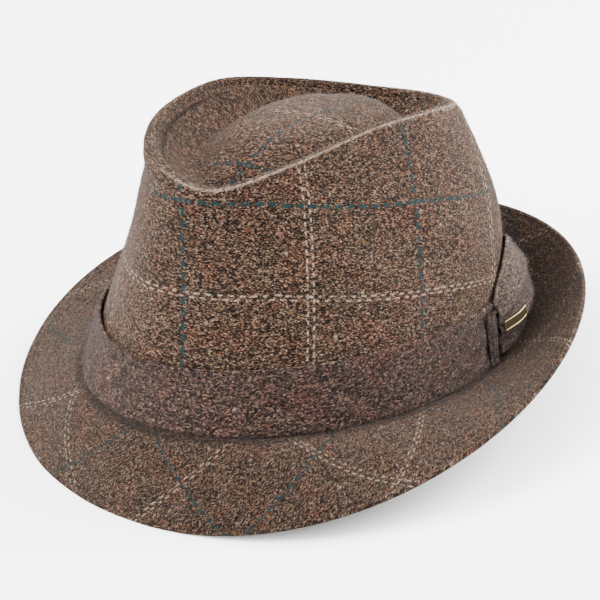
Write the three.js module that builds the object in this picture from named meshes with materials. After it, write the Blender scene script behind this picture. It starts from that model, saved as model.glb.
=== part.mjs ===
import * as THREE from 'three';

// A cut-and-sewn tweed fedora, in millimetres.
// It is shaped upright first: the ring where the brim leaves the crown is level at about z = 0,
// the front is towards -Y, the wearer's left is +X.
// Then the whole hat leans back until it rests on the front edge of the brim and the foot of the back.

// Cloth and gaps
const CROWN_CLOTH = 1.5;
const BRIM_CLOTH = 2.4;
const BAND_CLOTH = 1.8;
const WING_CLOTH = 1.6;
const GAP = 0.3;

// Head opening: the ring where the hatband's foot meets the brim
const RING_LENGTH = 216;
const RING_WIDTH = 184;
const RING_EGG = 0.023;
const RING_RISE_FRONT = 1.6;
const RING_SADDLE = -2.5;

// Crown: the top ridge, one row for every 30 degrees from the front towards the wearer's left.
// x and y are the ridge in plan, top is its height over the ring, bulge is how far the wall swells out below it,
// shoulder is how far the wall stands outside the ridge, and roll is how wide the cloth rolls over it.
const RIDGE = [
  { x: 3, y: -83, top: 112, bulge: -1, shoulder: 0.8, roll: 1.9 },
  { x: 27, y: -74, top: 106.5, bulge: -1, shoulder: 1, roll: 1.4 },
  { x: 43, y: -43.5, top: 114, bulge: 2, shoulder: 1, roll: 0.9 },
  { x: 50.5, y: 1, top: 122, bulge: 4, shoulder: 1, roll: 0.8 },
  { x: 46.5, y: 44, top: 119, bulge: 8, shoulder: 2, roll: 0.9 },
  { x: 28.5, y: 75, top: 111, bulge: 9, shoulder: 5, roll: 1.2 },
  { x: 0, y: 85.5, top: 106.5, bulge: 9, shoulder: 5, roll: 1.4 },
  { x: -30, y: 73.5, top: 106, bulge: 9, shoulder: 4, roll: 1.2 },
  { x: -50, y: 42.5, top: 112, bulge: 8, shoulder: 2, roll: 0.9 },
  { x: -54.5, y: 1, top: 120, bulge: 4, shoulder: 1, roll: 0.8 },
  { x: -43, y: -42, top: 120, bulge: -1, shoulder: 0, roll: 1.1 },
  { x: -22, y: -71.5, top: 116.5, bulge: -3, shoulder: 0, roll: 1.7 },
];
const SHOULDER_DOWN = 9;
// The wall swells most a little above its middle
const SWELL_RISE = 1.2;
// How the cloth rolls over the ridge: out and down from the ridge line, ending at the tip seam
const ROLL = [
  { out: 0.4, down: 3.6 },
  { out: -0.5, down: 0.8 },
  { out: -2.2, down: 0.1 },
  { out: -3.6, down: 1.4 },
  { out: -4.2, down: 4.2 },
];
const WALL_ROWS = 7;

// Crown tip: inward is the share of the way from the seam to the middle, depth is under the ridge,
// rise is the share of the way up to the top of the dome.
const TIP = [
  { inward: 0.05, depth: 8, rise: 0 },
  { inward: 0.13, depth: 14.5, rise: 0 },
  { inward: 0.24, depth: 19, rise: 0.03 },
  { inward: 0.37, depth: 20, rise: 0.36 },
  { inward: 0.53, depth: 20, rise: 0.76 },
  { inward: 0.74, depth: 20, rise: 0.96 },
];
const DOME_TOP = 117;
const DOME_Y = 13;
// The dome is fuller towards the back, on the wearer's left
const DOME_FULLER = 0.55;
const DOME_FULLER_AT = 150;

// Brim: width along the plan and height of its edge, as even waves around the hat,
// with a small lean to one side in the second list
const BRIM_WIDTH = [35.2, -2.8, -9.4, -2.3, 0.8];
const BRIM_EDGE = [2.9, -37.6, -5.1, 2.5, 0.8];
const BRIM_WIDTH_LEAN = [0, -0.6, 0.6, 0.3];
const BRIM_EDGE_LEAN = [0, 2.4, -1.6, 0.4];
const BRIM_TUCK = 3.4;
const BRIM_BEND = { out: 0.42, rise: 0.16 };
const BRIM_ROWS = 6;

// Hatband
const BAND_HEIGHT = 29;
const BAND_ROWS = 4;
const BAND_FLARE = 1.6;
const BAND_FLARE_AT = 335;
const BAND_FLARE_SPREAD = 55;

// Bow wing: one row for every step from the knot to its free end.
// low and high are its edges over the ring, away is how far its middle stands off the crown.
const WING = [
  { angle: 118.5, low: 4.5, high: 30, away: 4 },
  { angle: 124, low: 5, high: 37, away: 9.5 },
  { angle: 131, low: 5.5, high: 44, away: 11.5 },
  { angle: 139, low: 5.5, high: 49, away: 11.5 },
  { angle: 147, low: 6, high: 47, away: 9 },
  { angle: 155, low: 7, high: 42, away: 6.5 },
];
// How far in from its lower and upper edges the puffed section starts and ends, as a share of a half wave
const WING_TUCK = { low: 0.12, high: 0.02 };
const WING_ROWS = 6;
const WING_FOLDS = 3;
const WING_FOLD_DEPTH = 0.8;

// Knot and badge
const KNOT = { angle: 115.5, width: 7, low: 1.5, high: 27, thick: 2.4, edge: 1.3 };
const BADGE = { length: 18, height: 5, thick: 0.9, angle: 124, up: 20.5, tilt: 14 };

// Rest: the lean of the hat and how far the cloth under it is pressed flat
const LEAN_BACK = 7.3;
const REST_DROP = 18.8;

const COLUMNS = 64;
// Small steps for working out the direction of a surface
const SMALL_TURN = 0.01;
const SMALL_RISE = 0.5;
const turn = (degrees) => THREE.MathUtils.degToRad(degrees);
const lerp = THREE.MathUtils.lerp;

// Sum of waves around the hat
function waves(cosines, sines, t) {
  let sum = 0;
  cosines.forEach((value, k) => { sum += value * Math.cos(k * t); });
  sines.forEach((value, k) => { sum += value * Math.sin(k * t); });
  return sum;
}

// One column of a ring table, eased smoothly around the hat
function around(table, column, t) {
  const steps = (((t / (2 * Math.PI)) % 1) + 1) % 1 * table.length;
  const i = Math.floor(steps) % table.length;
  const f = steps - Math.floor(steps);
  const at = (k) => table[(i + k + table.length) % table.length][column];
  const slope = (k) => (at(k + 1) - at(k - 1)) / 2;
  return at(0) * (2 * f ** 3 - 3 * f ** 2 + 1) + slope(0) * (f ** 3 - 2 * f ** 2 + f)
    + at(1) * (3 * f ** 2 - 2 * f ** 3) + slope(1) * (f ** 3 - f ** 2);
}

// The same for an open table, with along from 0 at its first row to 1 at its last
function down(table, column, along) {
  const steps = THREE.MathUtils.clamp(along, 0, 1) * (table.length - 1);
  const i = Math.min(Math.floor(steps), table.length - 2);
  return lerp(table[i][column], table[i + 1][column], steps - i);
}

// The ring where the band's foot meets the brim, moved out in plan by out
function ring(t, out = 0) {
  const a = RING_LENGTH / 2;
  const b = RING_WIDTH / 2;
  const normal = new THREE.Vector2(Math.sin(t) / b, -Math.cos(t) / a).normalize();
  return new THREE.Vector3(
    b * Math.sin(t) * (1 + RING_EGG * Math.cos(t)) + normal.x * out,
    -a * Math.cos(t) + normal.y * out,
    RING_RISE_FRONT * Math.cos(t) + RING_SADDLE * Math.cos(2 * t),
  );
}

// The ridge line, moved out in plan and down
function ridge(t, out = 0, drop = 0) {
  const place = (s) => new THREE.Vector2(around(RIDGE, 'x', s), around(RIDGE, 'y', s));
  const along = place(t + SMALL_TURN).sub(place(t - SMALL_TURN)).normalize();
  const here = place(t);
  return new THREE.Vector3(here.x + along.y * out, here.y - along.x * out, around(RIDGE, 'top', t) - drop);
}

// The cloth rolled over the ridge; the roll starts from where the shoulder stands
function rolled(t, row) {
  const wide = around(RIDGE, 'roll', t);
  const out = row.out > 0 ? row.out * (1 + around(RIDGE, 'shoulder', t)) : row.out * wide;
  return ridge(t, out, row.down);
}

// The crown wall's outer face, rise 0 at the foot and 1 at the shoulder under the ridge
function wall(t, rise) {
  const foot = ring(t, -BAND_CLOTH - 2 * GAP);
  foot.z += GAP;
  const shoulder = ridge(t, around(RIDGE, 'shoulder', t), SHOULDER_DOWN);
  const swell = around(RIDGE, 'bulge', t) * Math.sin(Math.PI * Math.max(rise, 0) ** SWELL_RISE);
  const point = foot.clone().lerp(shoulder, rise);
  const normal = new THREE.Vector2(foot.x / RING_WIDTH ** 2, foot.y / RING_LENGTH ** 2).normalize();
  point.x += normal.x * swell;
  point.y += normal.y * swell;
  return point;
}

// The crown wall at a height over the ring
function wallAt(t, height) {
  const foot = wall(t, 0).z;
  const shoulder = wall(t, 1).z;
  return wall(t, (height + ring(t).z - foot) / (shoulder - foot));
}

// A point that stands off the crown wall, level with the given height on it
function offWall(t, height, out) {
  const across = wallAt(t + SMALL_TURN, height).sub(wallAt(t - SMALL_TURN, height));
  const up = wallAt(t, height + SMALL_RISE).sub(wallAt(t, height - SMALL_RISE));
  const normal = across.cross(up).setZ(0).normalize();
  return wallAt(t, height).addScaledVector(normal, out);
}

// A closed cloth shell from two equal grids of points: rows from the first edge to the last
function shell(outer, inner, closed) {
  const columns = outer[0].length;
  const loops = [...outer, ...inner.slice().reverse()];
  const points = loops.flat();
  const index = [];
  const last = closed ? columns : columns - 1;
  loops.forEach((_, r) => {
    const next = (r + 1) % loops.length;
    for (let c = 0; c < last; c += 1) {
      const d = (c + 1) % columns;
      const [p, q, s, u] = [r * columns + c, r * columns + d, next * columns + d, next * columns + c];
      index.push(p, q, s, p, s, u);
    }
  });
  if (!closed) {
    for (let r = 0; r < outer.length - 1; r += 1) {
      const back = loops.length - 1 - r;
      const [p, q, s, u] = [r, r + 1, back - 1, back];
      const far = columns - 1;
      index.push(p * columns, q * columns, s * columns, p * columns, s * columns, u * columns);
      index.push(p * columns + far, s * columns + far, q * columns + far);
      index.push(p * columns + far, u * columns + far, s * columns + far);
    }
  }
  return solid(points, index);
}

function solid(points, index) {
  const geometry = new THREE.BufferGeometry();
  geometry.setAttribute('position', new THREE.Float32BufferAttribute(points.flatMap((p) => [p.x, p.y, p.z]), 3));
  geometry.setIndex(index);
  geometry.computeVertexNormals();
  return geometry;
}

const ANGLES = Array.from({ length: COLUMNS }, (_, c) => (2 * Math.PI * c) / COLUMNS);
const grid = (rows, place) => rows.map((row) => ANGLES.map((t) => place(t, row)));

// Thickens a closed profile of sections inward by the cloth
function thicken(sections, cloth) {
  const outer = grid(sections, (t, section) => section(t));
  const inner = outer.map((row, r) => row.map((point, c) => {
    const before = outer[Math.max(r - 1, 0)][c];
    const after = outer[Math.min(r + 1, outer.length - 1)][c];
    const left = row[(c + COLUMNS - 1) % COLUMNS];
    const right = row[(c + 1) % COLUMNS];
    const normal = right.clone().sub(left).cross(after.clone().sub(before)).normalize();
    return point.clone().addScaledVector(normal, -cloth);
  }));
  return [outer, inner];
}

function crownSide() {
  const sections = [];
  for (let k = 0; k <= WALL_ROWS; k += 1) sections.push((t) => wall(t, k / WALL_ROWS));
  ROLL.forEach((row) => sections.push((t) => rolled(t, row)));
  const [outer, inner] = thicken(sections, CROWN_CLOTH);
  // The foot is trimmed level, so that it sits on the brim
  inner[0].forEach((point, c) => { point.z = outer[0][c].z; });
  return shell(outer, inner, true);
}

// The tip panel starts one gap inside the seam
function tipPoint(t, row) {
  const seam = ridge(t, ROLL.at(-1).out * around(RIDGE, 'roll', t) - GAP);
  const middle = new THREE.Vector3(0, DOME_Y, DOME_TOP);
  const near = (1 + Math.cos(t - turn(DOME_FULLER_AT))) / 2;
  const rise = row.rise ** (1 - DOME_FULLER * near);
  return new THREE.Vector3(
    lerp(seam.x, middle.x, row.inward),
    lerp(seam.y, middle.y, row.inward),
    lerp(seam.z - row.depth, DOME_TOP, rise),
  );
}

function crownTip() {
  const edge = { inward: 0, depth: ROLL.at(-1).down + GAP, rise: 0 };
  const rows = [edge, ...TIP];
  const [top, under] = thicken(rows.map((row) => (t) => tipPoint(t, row)), CROWN_CLOTH);
  const loops = [...under.slice().reverse(), ...top];
  const points = loops.flat();
  const index = [];
  for (let r = 0; r < loops.length - 1; r += 1) {
    for (let c = 0; c < COLUMNS; c += 1) {
      const d = (c + 1) % COLUMNS;
      const [p, q] = [r * COLUMNS, (r + 1) * COLUMNS];
      index.push(p + c, p + d, q + d, p + c, q + d, q + c);
    }
  }
  const underMiddle = points.push(new THREE.Vector3(0, DOME_Y, DOME_TOP - CROWN_CLOTH)) - 1;
  const topMiddle = points.push(new THREE.Vector3(0, DOME_Y, DOME_TOP)) - 1;
  const lastRow = (loops.length - 1) * COLUMNS;
  for (let c = 0; c < COLUMNS; c += 1) {
    const d = (c + 1) % COLUMNS;
    index.push(c, underMiddle, d);
    index.push(lastRow + c, lastRow + d, topMiddle);
  }
  return solid(points, index);
}

// The brim in section is a soft bend that starts level at the ring and ends at its edge
function brimPoint(t, across) {
  const width = waves(BRIM_WIDTH, BRIM_WIDTH_LEAN, t);
  const edge = waves(BRIM_EDGE, BRIM_EDGE_LEAN, t);
  if (across < 0) {
    return ring(t, across * BRIM_TUCK);
  }
  const bend = 2 * across * (1 - across);
  const point = ring(t, (bend * BRIM_BEND.out + across ** 2) * width);
  point.z += (bend * BRIM_BEND.rise + across ** 2) * (edge - point.z);
  return point;
}

// The floor in the upright hat's own frame
const LEAN = turn(LEAN_BACK);
const FLOOR_NORMAL = new THREE.Vector3(0, -Math.sin(LEAN), Math.cos(LEAN));
const overFloor = (point) => point.dot(FLOOR_NORMAL) + REST_DROP;

// Cloth that would sink under the floor is pressed flat on it
function press(point) {
  const height = overFloor(point);
  if (height < 0) point.addScaledVector(FLOOR_NORMAL, -height);
  return point;
}

function brim() {
  const sections = [(t) => brimPoint(t, -1)];
  for (let k = 0; k <= BRIM_ROWS; k += 1) sections.push((t) => brimPoint(t, k / BRIM_ROWS));
  const [top, under] = thicken(sections.reverse(), BRIM_CLOTH);
  return shell(top.map((row) => row.map(press)), under.map((row) => row.map(press)), true);
}

// The hatband follows the crown's wall and stands off it a little at the wearer's right front
function bandPoint(t, rise, out) {
  const height = GAP + rise * BAND_HEIGHT;
  const off = THREE.MathUtils.radToDeg(t) - BAND_FLARE_AT;
  const near = Math.abs(((off + 540) % 360) - 180) / BAND_FLARE_SPREAD;
  const flare = near < 1 ? BAND_FLARE * rise ** 2 * Math.cos((near * Math.PI) / 2) ** 2 : 0;
  return offWall(t, height, GAP + flare + out);
}

function hatband() {
  const rows = Array.from({ length: BAND_ROWS + 1 }, (_, k) => k / BAND_ROWS);
  const outer = grid(rows, (t, rise) => bandPoint(t, rise, BAND_CLOTH));
  const inner = grid(rows, (t, rise) => bandPoint(t, rise, 0));
  return shell(outer, inner, true);
}

// The wing fans out from the knot: s along it from the knot, h up it from its lower edge
function wingPoint(s, h, out, folded = 1) {
  const t = turn(down(WING, 'angle', s));
  const height = lerp(down(WING, 'low', s), down(WING, 'high', s), h);
  const hug = 2 * GAP + BAND_CLOTH;
  const puff = (down(WING, 'away', s) - hug) * Math.sin(Math.PI * lerp(WING_TUCK.low, 1 - WING_TUCK.high, h));
  const fold = folded * WING_FOLD_DEPTH * Math.sin(2 * Math.PI * WING_FOLDS * h);
  return offWall(t, height, hug + puff + fold + out);
}

function bowWing() {
  const steps = (WING.length - 1) * 2;
  const make = (out) => Array.from({ length: WING_ROWS * 2 + 1 }, (_, r) => Array.from(
    { length: steps + 1 },
    (__, c) => wingPoint(c / steps, r / (WING_ROWS * 2), out),
  ));
  return shell(make(WING_CLOTH), make(0), false);
}

// The knot is a short wrap over the band, rounded across
function bandKnot() {
  const columns = 6;
  const rows = 6;
  const half = (KNOT.width / 2) / (RING_LENGTH / 2);
  const point = (c, r, top) => {
    const across = (c / columns) * 2 - 1;
    const t = turn(KNOT.angle) + across * half;
    const height = lerp(KNOT.low, KNOT.high, r / rows);
    const crown = top ? lerp(KNOT.edge, KNOT.thick, Math.cos((across * Math.PI) / 2)) : 0;
    return offWall(t, height, 2 * GAP + BAND_CLOTH + crown);
  };
  const make = (top) => Array.from({ length: rows + 1 }, (_, r) => Array.from(
    { length: columns + 1 },
    (__, c) => point(c, r, top),
  ));
  return shell(make(true), make(false), false);
}

// The badge is a thin plate bent to the wing, square-edged and rising towards its far end
function badgePlate() {
  const steps = 6;
  const radius = RING_LENGTH / 2;
  const low = (s) => down(WING, 'low', s);
  const high = (s) => down(WING, 'high', s);
  const point = (c, r, out) => {
    const along = (c / steps - 0.5) * BADGE.length;
    const up = BADGE.up + along * Math.sin(turn(BADGE.tilt)) + (r - 0.5) * BADGE.height;
    const angle = BADGE.angle + THREE.MathUtils.radToDeg((along * Math.cos(turn(BADGE.tilt))) / radius);
    const s = (angle - WING[0].angle) / (WING.at(-1).angle - WING[0].angle);
    return wingPoint(s, (up - low(s)) / (high(s) - low(s)), out, 0);
  };
  const make = (out) => [0, 0.5, 1].map((r) => Array.from({ length: steps + 1 }, (_, c) => point(c, r, out)));
  const seat = WING_CLOTH + WING_FOLD_DEPTH + GAP;
  return shell(make(seat + BADGE.thick), make(seat), false);
}

const cloth = (colour, roughness) => new THREE.MeshStandardMaterial({ color: colour, roughness, metalness: 0 });
const tweed = cloth('#6f5a4a', 0.95);
const wool = cloth('#5a423c', 0.97);
const metal = new THREE.MeshStandardMaterial({ color: '#8c7a4a', roughness: 0.35, metalness: 1 });

const pieces = [
  ['crown_side', crownSide(), tweed],
  ['crown_tip', crownTip(), tweed],
  ['brim', brim(), tweed],
  ['hatband', hatband(), wool],
  ['bow_wing', bowWing(), wool],
  ['band_knot', bandKnot(), wool],
  ['badge_plate', badgePlate(), metal],
];

const leaning = new THREE.Group();
leaning.name = 'leaning_hat';
for (const [name, geometry, material] of pieces) {
  const mesh = new THREE.Mesh(geometry, material.clone());
  mesh.name = name;
  leaning.add(mesh);
}

leaning.rotation.x = -LEAN;
leaning.position.z = REST_DROP;

const hat = new THREE.Group();
hat.add(leaning);
hat.updateMatrixWorld(true);

// The origin is the middle of the hat's footprint, on the floor
const box = new THREE.Box3().setFromObject(hat, true);
const centre = box.getCenter(new THREE.Vector3());
hat.position.set(-centre.x, -centre.y, 0);

export default hat;
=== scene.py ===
# %% [markdown]
# # A check tweed fedora with a teardrop crown
# The real hat is cut from wool tweed and sewn: a tall side piece, a sunken tip panel, a brim strip cut on
# the bias, a band of fuzzy wool flannel and a small gathered wing with a bare metal plate.
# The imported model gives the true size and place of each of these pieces. This script dresses each one:
# it rebuilds its surface finely, in the same place, and gives it yarn, check lines, fuzz and stitching.
# All shapes are worked out in millimetres in the upright hat and turned to metres in the frame at the end.

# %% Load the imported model
import math

import bpy
import numpy as np
from mathutils import Matrix, Vector


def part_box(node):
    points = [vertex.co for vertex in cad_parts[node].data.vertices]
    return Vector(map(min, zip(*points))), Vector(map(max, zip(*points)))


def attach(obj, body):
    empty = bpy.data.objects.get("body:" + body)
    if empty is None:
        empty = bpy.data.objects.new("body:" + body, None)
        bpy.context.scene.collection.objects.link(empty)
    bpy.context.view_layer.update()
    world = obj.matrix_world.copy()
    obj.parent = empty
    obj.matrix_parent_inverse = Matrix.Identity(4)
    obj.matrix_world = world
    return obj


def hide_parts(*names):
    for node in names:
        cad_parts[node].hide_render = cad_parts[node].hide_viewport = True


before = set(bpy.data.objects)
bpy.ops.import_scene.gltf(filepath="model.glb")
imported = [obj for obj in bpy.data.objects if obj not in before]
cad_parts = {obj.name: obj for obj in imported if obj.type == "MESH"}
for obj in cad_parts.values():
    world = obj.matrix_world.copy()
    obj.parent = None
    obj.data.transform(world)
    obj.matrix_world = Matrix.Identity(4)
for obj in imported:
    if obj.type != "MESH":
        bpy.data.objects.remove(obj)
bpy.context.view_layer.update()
print("nodes:", sorted(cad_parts))

# %% [markdown]
# ## From the upright hat to the frame
# The hat was drawn standing upright, with the ring of its head opening level. At rest it leans back a
# little, on the front edge of its brim and the foot of its back. Keeping the shapes upright makes them
# easy to describe, so each finished surface goes through one function that leans it, drops it on the floor
# and centres it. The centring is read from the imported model, so that it always agrees with it.

# %% Lean, drop and centre
MM = 0.001
LEAN_BACK = 7.3
REST_DROP = 18.8
LEAN = math.radians(LEAN_BACK)


def leaned(points):
    """Upright millimetres to leaning millimetres, not yet centred."""
    x, y, z = np.moveaxis(np.asarray(points, float), -1, 0)
    back = y * math.cos(LEAN) + z * math.sin(LEAN)
    high = -y * math.sin(LEAN) + z * math.cos(LEAN) + REST_DROP
    return np.stack([x, back, high], -1)


def turned(direction):
    """A direction of the upright hat, turned with it."""
    return leaned(direction) - leaned(np.zeros(3))


print("leans back", LEAN_BACK, "degrees; its ring stands", REST_DROP, "mm over the floor")

# %% [markdown]
# ## The measures that shape the hat
# The next cells hold the hat's own measures, piece by piece, in millimetres. A sculpted mesh could give the
# same look, but a table of named measures can be checked against a tape and keeps every piece exactly where
# its solid is. First come the thickness of each cloth and the oval of the head opening, which is a little
# wider in front and rises slightly at the sides.

# %% Measures: cloth and head opening
CROWN_CLOTH = 1.5
BRIM_CLOTH = 2.4
BAND_CLOTH = 1.8
WING_CLOTH = 1.6
GAP = 0.3
RING_LENGTH = 216
RING_WIDTH = 184
RING_EGG = 0.023
RING_RISE_FRONT = 1.6
RING_SADDLE = -2.5
print("head opening", RING_LENGTH, "by", RING_WIDTH, "mm outside the band")

# %% [markdown]
# The top ridge is the edge that a hand feels round the crown. Twelve stations give its place in plan, its
# height, how much the wall below it bulges, and how wide the cloth rolls over. The roll is a short profile,
# outward and down, that each station scales.

# %% Measures: the ridge and the roll over it
RIDGE_COLUMNS = ("x", "y", "top", "bulge", "shoulder", "roll")
RIDGE = np.array([
    (3, -83, 112, -1, 0.8, 1.9),
    (27, -74, 106.5, -1, 1, 1.4),
    (43, -43.5, 114, 2, 1, 0.9),
    (50.5, 1, 122, 4, 1, 0.8),
    (46.5, 44, 119, 8, 2, 0.9),
    (28.5, 75, 111, 9, 5, 1.2),
    (0, 85.5, 106.5, 9, 5, 1.4),
    (-30, 73.5, 106, 9, 4, 1.2),
    (-50, 42.5, 112, 8, 2, 0.9),
    (-54.5, 1, 120, 4, 1, 0.8),
    (-43, -42, 120, -1, 0, 1.1),
    (-22, -71.5, 116.5, -3, 0, 1.7),
])
SHOULDER_DOWN = 9
SWELL_RISE = 1.2
ROLL_OUT, ROLL_DOWN = 0, 1
ROLL = np.array([(0.4, 3.6), (-0.5, 0.8), (-2.2, 0.1), (-3.6, 1.4), (-4.2, 4.2)])
tops = RIDGE[:, RIDGE_COLUMNS.index("top")]
print("ridge stations:", len(RIDGE), "heights from", tops.min(), "to", tops.max(), "mm")

# %% [markdown]
# The tip panel sinks into a trough inside the ridge and rises to a dome. Each row says how far in it lies,
# as a share of the way to the middle, how deep it is, and how much of the dome's rise it already has.

# %% Measures: the tip
TROUGH_DEPTH = 20
TIP = np.array([
    (0.05, 8, 0),
    (0.13, 14.5, 0),
    (0.24, 19, 0.03),
    (0.37, TROUGH_DEPTH, 0.36),
    (0.53, TROUGH_DEPTH, 0.76),
    (0.74, TROUGH_DEPTH, 0.96),
])
SEAM_LAP = 0.5
DOME_TOP = 117
DOME_Y = 13
DOME_FULLER = 0.55
DOME_FULLER_AT = 150
print("tip rows:", len(TIP), "dome", DOME_TOP, "mm up")

# %% [markdown]
# The brim's width and the height of its edge change slowly around the hat, so each is a sum of a few waves:
# one wave lowers the front and lifts the back, two waves lift or drop both sides. The lean tables let the
# left and the right differ, as they do on a worn hat.

# %% Measures: the brim
BRIM_WIDTH = (35.2, -2.8, -9.4, -2.3, 0.8)
BRIM_EDGE = (2.9, -37.6, -5.1, 2.5, 0.8)
BRIM_WIDTH_LEAN = (0, -0.6, 0.6, 0.3)
BRIM_EDGE_LEAN = (0, 2.4, -1.6, 0.4)
BRIM_TUCK = 3.4
BRIM_BEND_OUT = 0.42
BRIM_BEND_RISE = 0.16
print("brim", BRIM_WIDTH[0], "mm wide and", BRIM_EDGE[0], "mm up in the mean")

# %% [markdown]
# The band stands off a little on one side. The wing's rows give, at six angles from the knot to its free
# end, its lower and upper edge and how far it stands away from the crown. The knot and the plate are plain
# oblongs, placed by an angle and a height.

# %% Measures: band, wing, knot and plate
BAND_HEIGHT = 29
BAND_FLARE = 1.6
BAND_FLARE_AT = 335
BAND_FLARE_SPREAD = 55
WING_ANGLE, WING_LOW, WING_HIGH, WING_AWAY = range(4)
WING = np.array([
    (118.5, 4.5, 30, 4),
    (124, 5, 37, 9.5),
    (131, 5.5, 44, 11.5),
    (139, 5.5, 49, 11.5),
    (147, 6, 47, 9),
    (155, 7, 42, 6.5),
])
WING_TUCK_LOW = 0.12
WING_TUCK_HIGH = 0.02
WING_FOLDS = 3
WING_FOLD_DEPTH = 0.8
KNOT_ANGLE = 115.5
KNOT_WIDTH = 7
KNOT_LOW = 1.5
KNOT_HIGH = 27
KNOT_THICK = 2.4
BADGE_LENGTH = 18
BADGE_HEIGHT = 5
BADGE_THICK = 0.9
BADGE_ANGLE = 124
BADGE_UP = 20.5
BADGE_TILT = 14
print("band", BAND_HEIGHT, "mm tall, wing up to", WING[:, WING_HIGH].max(), "mm")
print("plate", BADGE_LENGTH, "by", BADGE_HEIGHT, "mm")

# %% [markdown]
# ## Reading the tables
# Around the hat, a value eases from one station to the next along a smooth curve, so the ridge has no
# corners. Up a profile, such as the roll over the ridge, a smooth curve is drawn through the rows as well.
# Both are written for whole arrays of angles, because each surface asks for tens of thousands of points.

# %% Smooth values around the hat and along a profile
TURN = 2 * np.pi


def bent(here, after, start, end, f):
    """A smooth curve from here to after, with the slopes start and end, at the share f of the way."""
    curve = here * (2 * f**3 - 3 * f**2 + 1) + after * (3 * f**2 - 2 * f**3)
    return curve + start * (f**3 - 2 * f**2 + f) + end * (f**3 - f**2)


def eased(before, here, after, beyond, f):
    """The smooth curve whose slopes come from the neighbours."""
    return bent(here, after, (after - before) / 2, (beyond - here) / 2, f)


def around(name, t):
    """One column of the ridge table at angle t."""
    column = RIDGE[:, RIDGE_COLUMNS.index(name)]
    steps = (t / TURN) % 1 * len(column)
    i = np.floor(steps).astype(int)
    picked = [column[(i + k) % len(column)] for k in (-1, 0, 1, 2)]
    return eased(*picked, steps - i)


def along(rows, column, share):
    """One column of an open table, share 0 at its first row and 1 at its last."""
    steps = np.clip(share, 0, 1) * (len(rows) - 1)
    i = np.minimum(np.floor(steps).astype(int), len(rows) - 2)
    last = len(rows) - 1
    picked = [rows[np.clip(i + k, 0, last), column] for k in (-1, 0, 1, 2)]
    return eased(*picked, steps - i)


def waves(cosines, sines, t):
    """A sum of even waves around the hat."""
    total = sum(value * np.cos(k * t) for k, value in enumerate(cosines))
    return total + sum(value * np.sin(k * t) for k, value in enumerate(sines))


def unit(v):
    return v / np.maximum(np.linalg.norm(v, axis=-1, keepdims=True), 1e-9)


FRONT = np.zeros(1)
print("in front the ridge is", around("top", FRONT)[0], "mm up")

# %% [markdown]
# ## The surfaces
# Each of these functions gives a point of the cloth's outer face, by the same rules as the solids follow.
# The ring is the foot of the crown and the ridge its top. Angle 0 is the front, and angles grow towards the
# wearer's left.

# %% Ring and ridge
def ring(t, out=0.0):
    a, b = RING_LENGTH / 2, RING_WIDTH / 2
    normal = unit(np.stack([np.sin(t) / b, -np.cos(t) / a], -1))
    x = b * np.sin(t) * (1 + RING_EGG * np.cos(t)) + normal[..., 0] * out
    y = -a * np.cos(t) + normal[..., 1] * out
    return np.stack([x, y, RING_RISE_FRONT * np.cos(t) + RING_SADDLE * np.cos(2 * t)], -1)


def ridge(t, out=0.0, drop=0.0):
    step = 0.01
    dx = around("x", t + step) - around("x", t - step)
    dy = around("y", t + step) - around("y", t - step)
    length = np.hypot(dx, dy)
    x = around("x", t) + dy / length * out
    y = around("y", t) - dx / length * out
    return np.stack([x, y, around("top", t) - drop], -1)


print("front of the ring", ring(FRONT)[0].round(1), "and of the ridge", ridge(FRONT)[0].round(1))

# %% [markdown]
# The wall of the crown runs from the head opening up to a shoulder just under the ridge and swells a little
# on the way, most of all at the back. The band, the wing and the knot lie on this wall, so they ask for a
# point that stands off it.

# %% Crown wall
def wall(t, rise):
    foot = ring(t, -BAND_CLOTH - 2 * GAP) + np.array([0, 0, GAP])
    shoulder = ridge(t, around("shoulder", t), SHOULDER_DOWN)
    swell = around("bulge", t) * np.sin(np.pi * np.maximum(rise, 0) ** SWELL_RISE)
    point = foot + (shoulder - foot) * np.asarray(rise)[..., None]
    across = unit(np.stack([foot[..., 0] / RING_WIDTH**2, foot[..., 1] / RING_LENGTH**2], -1))
    point[..., :2] += across * swell[..., None]
    return point


def wall_at(t, height):
    foot = wall(t, np.zeros_like(t))[..., 2]
    shoulder = wall(t, np.ones_like(t))[..., 2]
    return wall(t, (height + ring(t)[..., 2] - foot) / (shoulder - foot))


def off_wall(t, height, out):
    """A point that stands off the crown wall, level with the given height on it."""
    turn, lift = 0.01, 0.5
    across = wall_at(t + turn, height) - wall_at(t - turn, height)
    up = wall_at(t, height + lift) - wall_at(t, height - lift)
    normal = np.cross(across, up)
    normal[..., 2] = 0
    return wall_at(t, height) + unit(normal) * np.asarray(out)[..., None]


print("middle of the wall in front", wall(FRONT, 0.5)[0].round(1))

# %% [markdown]
# Over the ridge the cloth rolls inward and goes down to the seam of the tip. The tip panel starts at that
# seam, and its dome is a little fuller towards one side of the back.

# %% Roll and tip
def rolled(t, share):
    """The cloth rolled over the ridge, from the shoulder to the tip seam."""
    out = along(ROLL, ROLL_OUT, share)
    outward = out * (1 + around("shoulder", t))
    inward = out * around("roll", t)
    return ridge(t, np.where(out > 0, outward, inward), along(ROLL, ROLL_DOWN, share))


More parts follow.
